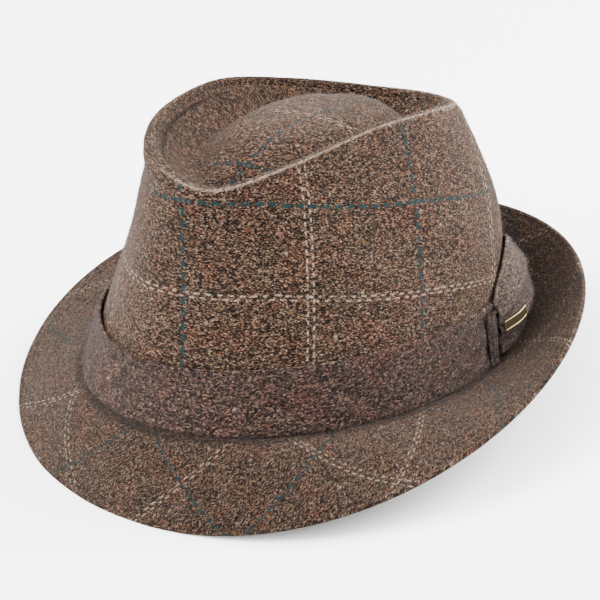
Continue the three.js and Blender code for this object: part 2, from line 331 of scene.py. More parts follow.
def tip(t, share):
    """The tip panel, share 0 at its seam and 1 at the middle of the dome."""
    t, share = np.broadcast_arrays(t, share)
    edge = np.array([(0, ROLL[-1, ROLL_DOWN] - SEAM_LAP, 0)])
    middle = np.array([(1, TROUGH_DEPTH, 1)])
    rows = np.concatenate([edge, TIP, middle])
    inward, depth, rise = (along(rows, k, share) for k in range(3))
    near = (1 + np.cos(t - math.radians(DOME_FULLER_AT))) / 2
    rise = np.clip(rise, 0, 1) ** (1 - DOME_FULLER * near)
    seam = ridge(t, ROLL[-1, ROLL_OUT] * around("roll", t) + SEAM_LAP)
    x = seam[..., 0] * (1 - inward)
    y = seam[..., 1] * (1 - inward) + DOME_Y * inward
    z = (seam[..., 2] - depth) * (1 - rise) + DOME_TOP * rise
    return np.stack([x, y, z], -1)


print("middle of the dome", tip(FRONT, np.ones(1))[0].round(1))

# %% [markdown]
# The brim leaves the ring level and bends to its edge. Below 0 across, its strip is tucked in under the
# crown, where it is sewn.

# %% Brim surface
def brim(t, across):
    t, across = np.broadcast_arrays(t, across)
    width = waves(BRIM_WIDTH, BRIM_WIDTH_LEAN, t)
    edge = waves(BRIM_EDGE, BRIM_EDGE_LEAN, t)
    share = np.maximum(across, 0)
    bend = 2 * share * (1 - share)
    tucked = np.minimum(across, 0) * BRIM_TUCK
    point = ring(t, (bend * BRIM_BEND_OUT + share**2) * width + tucked)
    point[..., 2] += (bend * BRIM_BEND_RISE + share**2) * (edge - point[..., 2])
    return point


print("front edge of the brim", leaned(brim(FRONT, np.ones(1)))[0].round(1), "mm before centring")

# %% [markdown]
# ## Where the hat stands
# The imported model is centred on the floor. Its crown side is made of 64 columns of the same wall, so the
# box of those points, before centring, gives how far the drawing has to move sideways to agree with it.
# From then on, one function takes any surface to its place.

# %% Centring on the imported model
CAD_COLUMNS = 64
CAD_WALL_ROWS = 7


def press(points):
    """Cloth that would sink under the floor is pressed flat on it."""
    flat = leaned(points)
    flat[..., 2] = np.maximum(flat[..., 2], 0)
    return flat


columns = np.arange(CAD_COLUMNS) / CAD_COLUMNS * TURN
levels = [wall(columns, np.full(CAD_COLUMNS, k / CAD_WALL_ROWS)) for k in range(CAD_WALL_ROWS + 1)]
levels += [rolled(columns, np.full(CAD_COLUMNS, k / (len(ROLL) - 1))) for k in range(len(ROLL))]
drawn = leaned(np.concatenate(levels))
cad_low, cad_high = (np.array(corner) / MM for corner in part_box("crown_side"))
CENTRE = (cad_low + cad_high - drawn.min(0) - drawn.max(0)) / 2
CENTRE[2] = 0
print("the hat moves by", CENTRE.round(3), "mm")
print("the sizes differ by", (np.ptp(drawn, axis=0) - cad_high + cad_low).round(3), "mm")


def placed(points):
    """Upright millimetres to metres in the frame."""
    return (press(points) + CENTRE) * MM

# %% [markdown]
# ## The camera
# The photograph was taken with a long lens, from the wearer's left front and a little above. The angles
# were found by laying the outline of the measured hat over the picture. They belong to the upright hat,
# so the camera leans back with it. 152 mm on a 36 mm sensor is that long lens: it flattens the depth and
# keeps the far brim large.

# %% Camera angles and lens
VIEW_AZIMUTH = math.radians(46.9957)
VIEW_HEIGHT = math.radians(23.4434)
VIEW_ROLL = math.radians(-0.7222)
VIEW_DISTANCE = 1200
VIEW_SCALE = 2.113824
VIEW_RIGHT = 0.7537
VIEW_UP = 21.6573
SENSOR = 36
FRAME_PIXELS = 600
NEAR_CLIP = 0.05
print("camera at", round(math.degrees(VIEW_AZIMUTH), 1), "degrees round,", VIEW_DISTANCE, "mm away")

# %% [markdown]
# Three directions follow from the angles: from the hat back to the lens, and right and up in the picture.
# Leaned with the hat, they are the axes of the camera. A constraint could aim it too, but it would lose the
# slight roll of the picture.

# %% Camera
backward = np.array([
    math.sin(VIEW_AZIMUTH) * math.cos(VIEW_HEIGHT),
    -math.cos(VIEW_AZIMUTH) * math.cos(VIEW_HEIGHT),
    math.sin(VIEW_HEIGHT),
])
level = np.array([math.cos(VIEW_AZIMUTH), math.sin(VIEW_AZIMUTH), 0])
upward = np.cross(backward, level)
right_hand = level * math.cos(VIEW_ROLL) + upward * math.sin(VIEW_ROLL)
overhead = upward * math.cos(VIEW_ROLL) - level * math.sin(VIEW_ROLL)
aim = right_hand * VIEW_RIGHT + overhead * VIEW_UP

camera_data = bpy.data.cameras.new("photo_view")
camera_data.sensor_width = SENSOR
camera_data.lens = VIEW_SCALE * VIEW_DISTANCE / FRAME_PIXELS * SENSOR
camera_data.clip_start = NEAR_CLIP
camera = bpy.data.objects.new("photo_view", camera_data)
bpy.context.scene.collection.objects.link(camera)
axes = np.stack([turned(right_hand), turned(overhead), turned(backward)], 1)
where = (leaned(aim + backward * VIEW_DISTANCE) + CENTRE) * MM
camera.matrix_world = Matrix.Translation(Vector(where)) @ Matrix(axes.tolist()).to_4x4()
bpy.context.scene.camera = camera
print("lens", round(camera_data.lens, 1), "mm, camera at", where.round(3))

# %% [markdown]
# ## Floor
# The photograph is a plain product shot, white all round. A large pale floor gives that background.

# %% Floor
FLOOR_SIZE = 6
FLOOR_WHITE = (0.95, 0.95, 0.95, 1)
floor_mesh = bpy.data.meshes.new("floor")
half = FLOOR_SIZE / 2
floor_corners = [(-half, -half, 0), (half, -half, 0), (half, half, 0), (-half, half, 0)]
floor_mesh.from_pydata(floor_corners, [], [(0, 1, 2, 3)])
floor = bpy.data.objects.new("floor", floor_mesh)
bpy.context.scene.collection.objects.link(floor)
floor_paint = bpy.data.materials.new("pale_floor")
floor_paint.use_nodes = True
floor_shader = floor_paint.node_tree.nodes["Principled BSDF"]
floor_shader.inputs["Base Color"].default_value = FLOOR_WHITE
floor_shader.inputs["Roughness"].default_value = 0.9
floor_mesh.materials.append(floor_paint)
print("floor", FLOOR_SIZE, "m wide")

# %% [markdown]
# ## Light
# The light is nearly even: it comes from a bright white world, as from the walls of a light tent. Dark wool
# needs much of it.

# %% World
WORLD_STRENGTH = 4.0
world = bpy.data.worlds.new("studio")
bpy.context.scene.world = world
world.use_nodes = True
world.node_tree.nodes["Background"].inputs["Color"].default_value = (1, 1, 1, 1)
world.node_tree.nodes["Background"].inputs["Strength"].default_value = WORLD_STRENGTH
print("world:", world.name, "strength", WORLD_STRENGTH)

# %% [markdown]
# Two broad area lamps give direction: one from the upper left in front, and one from behind on the right,
# which grazes the fuzz of the crown and the brim. Broad lamps, rather than a sun, keep the shadow under the
# brim soft.

# %% Lamps
LAMP_AIM = 0.07


def lamp(name, azimuth, height, distance, size, watts):
    """A square soft lamp, placed round the hat by its angles and aimed at it."""
    a, e = math.radians(azimuth), math.radians(height)
    side = Vector((math.sin(a) * math.cos(e), -math.cos(a) * math.cos(e), math.sin(e)))
    data = bpy.data.lights.new(name, "AREA")
    data.size = size
    data.energy = watts
    lit = bpy.data.objects.new(name, data)
    bpy.context.scene.collection.objects.link(lit)
    lit.location = side * distance + Vector((0, 0, LAMP_AIM))
    lit.rotation_euler = side.to_track_quat("Z", "Y").to_euler()
    return lit


lamp("key_upper_left", -38, 50, 1.3, 0.8, 52)
lamp("rim_right", 152, 30, 1.2, 0.7, 50)

# %% [markdown]
# ## Small helpers for node materials
# A material is a small graph. Writing each node and wire by hand hides the idea, so a few helpers keep it
# short. The first ones add a node with its settings, fill a socket with a number or a wire, and do one step
# of arithmetic. Values that stay the same all over a surface are set straight on the shader.

# %% Nodes, wires and sums
def put(tree, kind, settings=(), **sockets):
    """Adds a node, sets its properties and fills its inputs with numbers or wires."""
    made = tree.nodes.new(kind)
    for name, value in dict(settings).items():
        setattr(made, name, value)
    for name, value in sockets.items():
        fill(tree, made.inputs[name.replace("_", " ")], value)
    return made


def fill(tree, socket, value):
    if isinstance(value, bpy.types.NodeSocket):
        tree.links.new(value, socket)
    else:
        socket.default_value = value


def sum_up(tree, operation, *values):
    """One arithmetic step on values or wires."""
    made = tree.nodes.new("ShaderNodeMath")
    made.operation = operation
    for place, value in enumerate(values):
        fill(tree, made.inputs[place], value)
    return made.outputs[0]


print("helpers:", put.__name__, fill.__name__, sum_up.__name__)

# %% [markdown]
# Colours are blended or looked up: a ramp turns one random number into one of the wool's colours.

# %% Blends and ramps
def blend_colours(tree, share, first, second, way="MIX"):
    made = tree.nodes.new("ShaderNodeMix")
    made.data_type = "RGBA"
    made.blend_type = way
    fill(tree, made.inputs["Factor"], share)
    colours = [s for s in made.inputs if s.type == "RGBA"]
    fill(tree, colours[0], first)
    fill(tree, colours[1], second)
    return next(s for s in made.outputs if s.type == "RGBA")


def ramp(tree, value, stops, smooth=True):
    """A colour ramp through (place, colour) stops."""
    made = tree.nodes.new("ShaderNodeValToRGB")
    made.color_ramp.interpolation = "LINEAR" if smooth else "CONSTANT"
    marks = made.color_ramp.elements
    while len(marks) < len(stops):
        marks.new(0.5)
    for mark, (place, colour) in zip(marks, stops):
        mark.position = place
        mark.color = (*colour, 1)
    tree.links.new(value, made.inputs["Fac"])
    return made.outputs["Color"]


print("helpers:", blend_colours.__name__, ramp.__name__)

# %% [markdown]
# An effect that more than one material needs is a node group with named inputs and outputs. It is built
# once, and each material places it with its own values.

# %% Groups with named sockets
FLOAT = "NodeSocketFloat"
VECTOR = "NodeSocketVector"
NOISE = "ShaderNodeTexNoise"
FLAT = {"noise_dimensions": "2D"}


def new_group(name, inputs, outputs):
    """A node group with named sockets; returns the tree and its two ends."""
    tree = bpy.data.node_groups.new(name, "ShaderNodeTree")
    for label, kind, value in inputs:
        socket = tree.interface.new_socket(label, in_out="INPUT", socket_type=kind)
        if value is not None:
            socket.default_value = value
    for label, kind in outputs:
        tree.interface.new_socket(label, in_out="OUTPUT", socket_type=kind)
    return tree, tree.nodes.new("NodeGroupInput").outputs, tree.nodes.new("NodeGroupOutput").inputs


def use(tree, group, **sockets):
    made = tree.nodes.new("ShaderNodeGroup")
    made.node_tree = group
    for name, value in sockets.items():
        fill(tree, made.inputs[name.replace("_", " ")], value)
    return made.outputs


print("helpers:", new_group.__name__, use.__name__)

# %% [markdown]
# ## Effect: flecked yarn
# Tweed is spun from wool dyed in many colours before spinning, so each yarn shows short flecks of brown,
# cream, rust and near black. In the cloth each float of yarn is a small raised dash, and each row of
# dashes steps aside from the last: that is the twill. A picture of cloth would do this, but a part should
# not need one, so the group divides the cloth into dashes, gives each one its own random number for the
# colour, and gives the raised shape of a dash for the bump.

# %% Node group: flecked yarn
def flecked_yarn():
    tree, given, result = new_group(
        "flecked yarn",
        [
            ("Cloth", VECTOR, None),
            ("Row", FLOAT, 0.75),
            ("Dash", FLOAT, 1.5),
            ("Step", FLOAT, 0.42),
            ("Wobble", FLOAT, 0.6),
        ],
        [("Fleck", FLOAT), ("Second", FLOAT), ("Height", FLOAT), ("Fibre", FLOAT)],
    )
    noise = put(tree, NOISE, FLAT, Vector=given["Cloth"], Scale=0.8, Detail=2.0)
    centred = put(tree, "ShaderNodeVectorMath", {"operation": "SUBTRACT"})
    fill(tree, centred.inputs[0], noise.outputs["Color"])
    centred.inputs[1].default_value = (0.5, 0.5, 0.5)
    scaled = put(tree, "ShaderNodeVectorMath", {"operation": "SCALE"}, Scale=given["Wobble"])
    fill(tree, scaled.inputs[0], centred.outputs[0])
    moved = put(tree, "ShaderNodeVectorMath", {"operation": "ADD"})
    fill(tree, moved.inputs[0], given["Cloth"])
    fill(tree, moved.inputs[1], scaled.outputs[0])
    split = put(tree, "ShaderNodeSeparateXYZ", Vector=moved.outputs[0])
    rows = sum_up(tree, "DIVIDE", split.outputs["Y"], given["Row"])
    row = sum_up(tree, "FLOOR", rows)
    dashes = sum_up(tree, "DIVIDE", split.outputs["X"], given["Dash"])
    stepped = sum_up(tree, "MULTIPLY_ADD", row, given["Step"], dashes)
    cell = put(tree, "ShaderNodeCombineXYZ", X=sum_up(tree, "FLOOR", stepped), Y=row)
    chance = put(tree, "ShaderNodeTexWhiteNoise", FLAT, Vector=cell.outputs[0])
    shades = put(tree, "ShaderNodeSeparateColor", Color=chance.outputs["Color"])
    across = sum_up(tree, "SINE", sum_up(tree, "MULTIPLY", sum_up(tree, "FRACT", rows), math.pi))
    length = sum_up(tree, "SINE", sum_up(tree, "MULTIPLY", sum_up(tree, "FRACT", stepped), math.pi))
    stretch = put(tree, "ShaderNodeMapping", Vector=given["Cloth"], Scale=(1.6, 4.5, 1))
    fibre = put(tree, NOISE, FLAT, Vector=stretch.outputs[0], Scale=1.0, Detail=3.0)
    fill(tree, result["Fleck"], chance.outputs["Value"])
    fill(tree, result["Second"], shades.outputs["Green"])
    fill(tree, result["Height"], sum_up(tree, "MULTIPLY", across, sum_up(tree, "SQRT", length)))
    fill(tree, result["Fibre"], fibre.outputs["Fac"])
    return tree


YARN = flecked_yarn()
print("group:", YARN.name, "outputs:", [s.name for s in YARN.interface.items_tree if s.in_out == "OUTPUT"])

# %% [markdown]
# ## Effect: one line of the windowpane check
# It shows as a row of dashes, because the twill lets it come up to the face only now and then. A teal
# line is one row of thick dashes. A cream line is two thin rows whose dashes take turns. One group draws
# a row of dashes that repeats across the cloth; each material places it as often as the pattern needs.

# %% Node group: a repeating row of dashes
RAGGED_BY = 1.5
SOFT_EDGE = 0.25


def dashed_row():
    tree, given, result = new_group(
        "dashed row",
        [
            ("Across", FLOAT, 0),
            ("Along", FLOAT, 0),
            ("Repeat", FLOAT, 100),
            ("Start", FLOAT, 0),
            ("Width", FLOAT, 1),
            ("Beat", FLOAT, 5),
            ("Dash", FLOAT, 3),
            ("Shift", FLOAT, 0),
            ("Ragged", FLOAT, 0),
        ],
        [("Mask", FLOAT)],
    )
    halfway = sum_up(tree, "MULTIPLY", given["Repeat"], 0.5)
    from_line = sum_up(tree, "SUBTRACT", given["Across"], given["Start"])
    wrapped = sum_up(tree, "FLOORED_MODULO", sum_up(tree, "ADD", from_line, halfway), given["Repeat"])
    distance = sum_up(tree, "ABSOLUTE", sum_up(tree, "SUBTRACT", wrapped, halfway))
    place = sum_up(tree, "ADD", given["Along"], given["Shift"])
    beat_half = sum_up(tree, "MULTIPLY", given["Beat"], 0.5)
    in_beat = sum_up(tree, "FLOORED_MODULO", place, given["Beat"])
    from_middle = sum_up(tree, "ABSOLUTE", sum_up(tree, "SUBTRACT", in_beat, beat_half))
    rough = sum_up(tree, "MULTIPLY", sum_up(tree, "SUBTRACT", given["Ragged"], 0.5), RAGGED_BY)
    side = sum_up(tree, "SUBTRACT", sum_up(tree, "MULTIPLY", given["Width"], 0.5), distance)
    end = sum_up(tree, "SUBTRACT", sum_up(tree, "MULTIPLY", given["Dash"], 0.5), from_middle)
    inside = sum_up(tree, "ADD", sum_up(tree, "MINIMUM", side, end), rough)
    edge = put(tree, "ShaderNodeMapRange", {"interpolation_type": "SMOOTHSTEP"}, Value=inside)
    edge.inputs["From Min"].default_value = -SOFT_EDGE
    edge.inputs["From Max"].default_value = SOFT_EDGE
    fill(tree, result["Mask"], edge.outputs["Result"])
    return tree


ROW_OF_DASHES = dashed_row()
print("group:", ROW_OF_DASHES.name)

# %% [markdown]
# ## Effect: wool fuzz
# Worn wool is covered by a haze of loose fibres. They are paler and greyer than the cloth, they lie in
# patches, and they blur the weave. Real fibres are added as thin spikes further down; this group gives
# what lies between them: fine streaks, which serve as haze and as felted height, and wide soft clouds, in
# which the brown can turn warmer or cooler.

# %% Node group: wool fuzz
def wool_fuzz():
    tree, given, result = new_group(
        "wool fuzz",
        [("Cloth", VECTOR, None), ("Streak", FLOAT, 1.0), ("Cloud", FLOAT, 0.06)],
        [("Haze", FLOAT), ("Warm", FLOAT)],
    )
    wander = put(tree, NOISE, FLAT, Vector=given["Cloth"], Scale=0.35, Detail=1.0)
    bend = put(tree, "ShaderNodeVectorMath", {"operation": "MULTIPLY_ADD"})
    fill(tree, bend.inputs[0], wander.outputs["Color"])
    bend.inputs[1].default_value = (3, 3, 0)
    fill(tree, bend.inputs[2], given["Cloth"])
    stretch = put(tree, "ShaderNodeMapping", Vector=bend.outputs[0], Scale=(3.2, 0.9, 1))
    streak = put(tree, NOISE, FLAT, Vector=stretch.outputs[0], Scale=given["Streak"], Detail=4.0)
    streak.inputs["Roughness"].default_value = 0.65
    cloud = put(tree, NOISE, FLAT, Vector=given["Cloth"], Scale=given["Cloud"], Detail=3.0)
    warm = put(tree, "ShaderNodeSeparateColor", Color=cloud.outputs["Color"])
    fill(tree, result["Haze"], streak.outputs["Fac"])
    fill(tree, result["Warm"], warm.outputs["Blue"])
    return tree


FUZZ = wool_fuzz()
print("group:", FUZZ.name)

# %% [markdown]
# ## The tweed
# The cloth of the crown and the brim is one material. Each surface carries a map named cloth, in
# millimetres along and across the weave, so that the yarn and the check have their real size everywhere
# and run on around the hat. The palette of the flecks goes from near black through red brown and taupe to
# pale brown. Slow clouds of warmer and greener brown and rare bright neps come on top. All of it is darker
# than it looks on the hat, because the light is strong and a painted sheen of the nap is added to it.

# %% Tweed colours
TWEED_FLECKS = (
    (0.00, (0.0003, 0.0002, 0.0001)),
    (0.16, (0.0006, 0.0004, 0.0003)),
    (0.30, (0.0039, 0.0017, 0.0008)),
    (0.48, (0.0140, 0.0065, 0.0033)),
    (0.66, (0.0269, 0.0139, 0.0075)),
    (0.82, (0.0409, 0.0238, 0.0138)),
    (0.94, (0.0644, 0.0419, 0.0265)),
    (1.00, (0.1064, 0.0753, 0.0510)),
)
FLECK_TINTS = (
    (0.00, (1.32, 0.84, 0.68)),
    (0.22, (1.02, 0.98, 0.96)),
    (0.50, (1.04, 1.00, 0.78)),
    (0.75, (0.96, 0.97, 1.20)),
    (1.00, (1.00, 0.99, 1.02)),
)
DRIFT = (
    (0.36, (1.22, 0.92, 0.80)),
    (0.50, (1.0, 1.0, 1.0)),
    (0.64, (0.90, 0.95, 0.88)),
)
NEPS = (
    (0.0, (0.0720, 0.0372, 0.0096)),
    (0.4, (0.0660, 0.0216, 0.0096)),
    (0.7, (0.0180, 0.0216, 0.0108)),
    (0.85, (0.1380, 0.1110, 0.0840)),
)
print("tweed palette:", len(TWEED_FLECKS), "flecks,", len(FLECK_TINTS), "tints,", len(NEPS), "neps")

# %% [markdown]
# ## Neps
# A nep is a small knot of wool that took another dye, orange, green or cream. They are scattered one to a
# cell of an uneven grid, and each shows only on the dashes whose own chance allows it, so its outline is
# ragged.

# %% Neps
NEP_CHANCE = 0.35
NEP_STRENGTH = 0.75


def cloth_map(tree):
    return put(tree, "ShaderNodeUVMap", {"uv_map": "cloth"}).outputs["UV"]


def neps(tree, colour, cloth, chance, cell, size, palette):
    """Small knots of bright wool, scattered one to a cell."""
    spots = put(tree, "ShaderNodeTexVoronoi", {"voronoi_dimensions": "2D"}, Vector=cloth)
    spots.inputs["Scale"].default_value = 1 / cell
    near = sum_up(tree, "LESS_THAN", spots.outputs["Distance"], size / cell)
    near = sum_up(tree, "MULTIPLY", near, sum_up(tree, "GREATER_THAN", chance, NEP_CHANCE))
    pick = put(tree, "ShaderNodeSeparateColor", Color=spots.outputs["Color"])
    spot = ramp(tree, pick.outputs["Red"], palette, smooth=False)
    return blend_colours(tree, sum_up(tree, "MULTIPLY", near, NEP_STRENGTH), colour, spot)


print("a nep is laid where the chance is over", NEP_CHANCE)

# %% [markdown]
# ## Wool cloth
# Tweed and flannel are both wool, so one function builds what they share: flecks of dyed yarn, with painted
# shade in the dip of each dash and lighter and darker fibres, a slow drift of colour, a haze of fuzz, and
# the raised weave as bump. A painted sheen, strongest on the palest flecks, is added to the colour. Wool
# has almost no gloss, but it scatters light at a glancing angle, so the shader has a low, even sheen as
# well.
# Three values painted on a mesh change it: worn is paler, partly rubbed wear and partly painted highlight;
# deep is painted shade; and plain is cloth that shows no check.

# %% Wool values
WORN_AND_LIT_WOOL = (0.190, 0.142, 0.110, 1)
PAINTED_SHADE_COLOUR = (0.002, 0.001, 0.001, 1)
SHEEN = 0.065
NAP_PAINTED_SHEEN = (0.068, 0.0475, 0.0390, 1)
SHEEN_TINT = (0.80, 0.655, 0.57, 1)
SHEEN_SPREAD = 0.45
WOOL_ROUGH = 0.92
WOOL_GLOSS = 0.05
WEAVE_STRENGTH = 0.8
WEAVE_DEEP = 0.0005
PAINTED_SHEEN_HIDDEN = 0.8
HAZE_FROM = 0.48
HAZE_TO = 0.72
STREAK = 1.0
CLOUD = 0.06
TWILL_STEP = 0.42
TINT_SHARE = 0.9
DRIFT_SHARE = 0.8
STRAND_LIGHT, STRAND_DARK = 1.3, 0.35
DASH_LIGHT, DASH_DARK = 0.9, 0.55
WEAVE_RAISED = 0.65
FELT_RAISED = 0.5
PAINTED_SHEEN_POWER = 3.0
PALE_BY_FLECK, PALE_LEAST, PALE_MOST = 1.1, 0.12, 0.9
print("sheen", SHEEN, "weave up to", WEAVE_DEEP / MM, "mm deep")

# %% [markdown]
# The colour comes from two random numbers of each dash: one picks its wool, the other tints it. The weave's
# height is that of the dashes with the fuzz on top.

# %% Colour and height of the weave
def woven_colour(tree, yarn, fuzz, flecks, drift):
    """Dyed flecks, painted shade from each dash's round, streaky fibres and a slow drift of colour."""
    colour = ramp(tree, yarn["Fleck"], flecks)
    tint = ramp(tree, yarn["Second"], FLECK_TINTS)
    colour = blend_colours(tree, TINT_SHARE, colour, tint, "MULTIPLY")
    # painted shade: each dash is darker towards its edges, where the yarn dips
    strand = sum_up(tree, "MULTIPLY_ADD", yarn["Fibre"], STRAND_LIGHT, STRAND_DARK)
    round_dash = sum_up(tree, "MULTIPLY_ADD", yarn["Height"], DASH_LIGHT, DASH_DARK)
    light = sum_up(tree, "MULTIPLY", strand, round_dash)
    lit = put(tree, "ShaderNodeCombineColor", Red=light, Green=light, Blue=light)
    colour = blend_colours(tree, 1.0, colour, lit.outputs["Color"], "MULTIPLY")
    return blend_colours(tree, DRIFT_SHARE, colour, ramp(tree, fuzz["Warm"], drift), "MULTIPLY")


def woven_normal(tree, yarn, fuzz):
    felted = sum_up(tree, "MULTIPLY", fuzz["Haze"], FELT_RAISED)
    raised = sum_up(tree, "MULTIPLY_ADD", yarn["Height"], WEAVE_RAISED, felted)
    bump = put(tree, "ShaderNodeBump", Height=raised, Strength=WEAVE_STRENGTH, Distance=WEAVE_DEEP)
    return bump.outputs["Normal"]


print("helpers:", woven_colour.__name__, woven_normal.__name__)

# %% [markdown]
# One function puts the parts on the shader. The pattern is laid over the bare cloth by whoever calls it, so
# it gives back the cloth and a last step, finish, which adds haze, painted sheen, pale spots that are
# partly rubbed wear and partly painted highlight, and painted shade.

# %% Wool cloth
def wool_material(name, flecks, row, dash, wobble, haze, haze_colour, drift):
    """Wool cloth, and a last step that is run once a pattern is laid over it."""
    material = bpy.data.materials.new(name)
    material.use_nodes = True
    tree = material.node_tree
    shader = tree.nodes["Principled BSDF"]
    cloth = cloth_map(tree)
    yarn = use(tree, YARN, Cloth=cloth, Row=row, Dash=dash, Step=TWILL_STEP, Wobble=wobble)
    fuzz = use(tree, FUZZ, Cloth=cloth, Streak=STREAK, Cloud=CLOUD)
    colour = woven_colour(tree, yarn, fuzz, flecks, drift)
    shade = put(tree, "ShaderNodeMapRange", Value=fuzz["Haze"])
    shade.inputs["From Min"].default_value = HAZE_FROM
    shade.inputs["From Max"].default_value = HAZE_TO
    shade.inputs["To Max"].default_value = haze
    tree.links.new(woven_normal(tree, yarn, fuzz), shader.inputs["Normal"])
    shader.inputs["Roughness"].default_value = WOOL_ROUGH
    shader.inputs["Specular IOR Level"].default_value = WOOL_GLOSS
    # painted sheen: the palest flecks get extra brightness in the base colour
    nap = sum_up(tree, "MULTIPLY", sum_up(tree, "POWER", yarn["Fleck"], PAINTED_SHEEN_POWER), yarn["Fibre"])
    shader.inputs["Sheen Weight"].default_value = SHEEN
    shader.inputs["Sheen Roughness"].default_value = SHEEN_SPREAD
    shader.inputs["Sheen Tint"].default_value = SHEEN_TINT

    def finish(colour, pattern=0.0):
        hazed = blend_colours(tree, shade.outputs["Result"], colour, haze_colour)
        # painted sheen added to the colour, held back where the teal lines cover the cloth
        painted_sheen_share = sum_up(tree, "MULTIPLY_ADD", pattern, -PAINTED_SHEEN_HIDDEN, 1.0)
        painted_sheen = sum_up(tree, "MULTIPLY", nap, painted_sheen_share)
        hazed = blend_colours(tree, painted_sheen, hazed, NAP_PAINTED_SHEEN, "ADD")
        # painted highlight and wear: worn makes the cloth paler, partly as rubbed wear and partly as a
        # painted highlight
        worn = put(tree, "ShaderNodeAttribute", {"attribute_name": "worn"}).outputs["Fac"]
        patchy = sum_up(tree, "MULTIPLY_ADD", yarn["Fleck"], PALE_BY_FLECK, PALE_LEAST)
        rubbed = sum_up(tree, "MINIMUM", sum_up(tree, "MULTIPLY", worn, patchy), PALE_MOST)
        worn_and_lit = blend_colours(tree, rubbed, hazed, WORN_AND_LIT_WOOL)
        # painted shade: deep darkens the colour where shade falls, in the crease, the corners and under the
        # band
        deep = put(tree, "ShaderNodeAttribute", {"attribute_name": "deep"}).outputs["Fac"]
        tree.links.new(blend_colours(tree, deep, worn_and_lit, PAINTED_SHADE_COLOUR), shader.inputs["Base Color"])
        return material

    return tree, cloth, colour, yarn, finish


print("helper:", wool_material.__name__)

# %% [markdown]
# The windowpane check repeats every 117 by 85 mm: a single teal line up and across, and between them a
# pair of thin cream lines up and across. Each line is one or two rows of dashes from the group above. The
# two rows of a cream pair take turns. A small jolt from dash to dash keeps the lines from being ruled, and
# the painted sheen of the nap is held back on the teal yarn.

# %% Tweed material
TWEED_HAZE = (0.070, 0.047, 0.034, 1)
JOLT = 0.4
CREAM_YARN = (0.275, 0.212, 0.155, 1)
TEAL_YARN = (0.0001, 0.0135, 0.0155, 1)
CHECK_WIDE = 117
CHECK_TALL = 85
TEAL_ACROSS_AT = 18.2
CREAM_UP_AT = 58.5
CREAM_ACROSS_AT = 62
CREAM_APART_UP = 1.45
CREAM_APART_ACROSS = 0.95
CREAM_STRENGTH = 0.9
CREAM_LEAST = 0.08
SHOW_VARIES = 1.5
TEAL_STRENGTH = 1.0
TEAL_LEAST = 0.6


def tweed_material():
    tree, cloth, colour, yarn, finish = wool_material(
        "check_tweed",
        flecks=TWEED_FLECKS,
        row=0.46,
        dash=0.90,
        wobble=0.8,
        haze=0.10,
        haze_colour=TWEED_HAZE,
        drift=DRIFT,
    )
    colour = neps(tree, colour, cloth, yarn["Second"], cell=12, size=0.95, palette=NEPS)
    split = put(tree, "ShaderNodeSeparateXYZ", Vector=cloth)
    jolt = sum_up(tree, "MULTIPLY_ADD", yarn["Second"], JOLT, -JOLT / 2)
    x, y = [sum_up(tree, "ADD", split.outputs[axis], jolt) for axis in ("X", "Y")]
    hidden = put(tree, "ShaderNodeAttribute", {"attribute_name": "plain"}).outputs["Fac"]
    shown = sum_up(tree, "SUBTRACT", 1.0, hidden)
    teal = (
        dict(Across=x, Along=y, Repeat=CHECK_WIDE, Start=0, Width=1.75, Beat=5.6, Dash=3.3),
        dict(Across=y, Along=x, Repeat=CHECK_TALL, Start=TEAL_ACROSS_AT, Width=1.7, Beat=6.5, Dash=3.9),
    )
    cream = []
    for side in (-1, 1):
        start = CREAM_UP_AT + CREAM_APART_UP * side
        up = dict(Across=x, Along=y, Repeat=CHECK_WIDE, Start=start, Width=0.68)
        cream.append({**up, "Beat": 4.0, "Dash": 1.85, "Shift": 1.0 * side})
        start = CREAM_ACROSS_AT + CREAM_APART_ACROSS * side
        over = dict(Across=y, Along=x, Repeat=CHECK_TALL, Start=start, Width=0.55)
        cream.append({**over, "Beat": 5.2, "Dash": 2.4, "Shift": 1.3 * side})
    yarns = (
        (cream, CREAM_YARN, CREAM_STRENGTH, CREAM_LEAST),
        (teal, TEAL_YARN, TEAL_STRENGTH, TEAL_LEAST),
    )
    pattern = 0.0
    for rows, yarn_colour, strength, least in yarns:
        for place in rows:
            mask = use(tree, ROW_OF_DASHES, Ragged=yarn["Fibre"], **place)["Mask"]
            showing = sum_up(tree, "MULTIPLY_ADD", yarn["Second"], SHOW_VARIES, least)
            broken = sum_up(tree, "MINIMUM", showing, 1.0)
            seen = sum_up(tree, "MULTIPLY", shown, strength)
            covered = sum_up(tree, "MULTIPLY", sum_up(tree, "MULTIPLY", mask, broken), seen)
            colour = blend_colours(tree, covered, colour, yarn_colour)
            # the teal lines hold back the painted sheen
            if rows is teal:
                pattern = sum_up(tree, "MAXIMUM", covered, pattern)
    return finish(colour, pattern)


TWEED = tweed_material()
print("material:", TWEED.name, "with", len(TWEED.node_tree.nodes), "nodes")

# %% [markdown]
# ## The flannel of the band
# The band, its wing and its knot are a softer cloth: a milled flannel whose nap hides the weave, mauve
# brown with rusty patches and a few cream neps. It is built by the same function as the tweed, with longer,
# more wandering dashes and a stronger haze.

# %% Flannel material
FLANNEL_FLECKS = (
    (0.00, (0.0002, 0.0002, 0.0002)),
    (0.22, (0.0012, 0.0006, 0.0005)),
    (0.45, (0.0085, 0.0037, 0.0025)),
    (0.75, (0.0230, 0.0112, 0.0078)),
    (0.93, (0.0460, 0.0265, 0.0195)),
    (1.00, (0.0830, 0.0560, 0.0430)),
)
FLANNEL_DRIFT = (
    (0.34, (1.30, 0.84, 0.76)),
    (0.50, (1.0, 1.0, 1.0)),
    (0.66, (0.90, 0.97, 0.98)),
)
FLANNEL_HAZE = (0.056, 0.035, 0.028, 1)
FLANNEL_NEPS = ((0.0, (0.190, 0.150, 0.120)), (0.5, (0.080, 0.022, 0.014)))


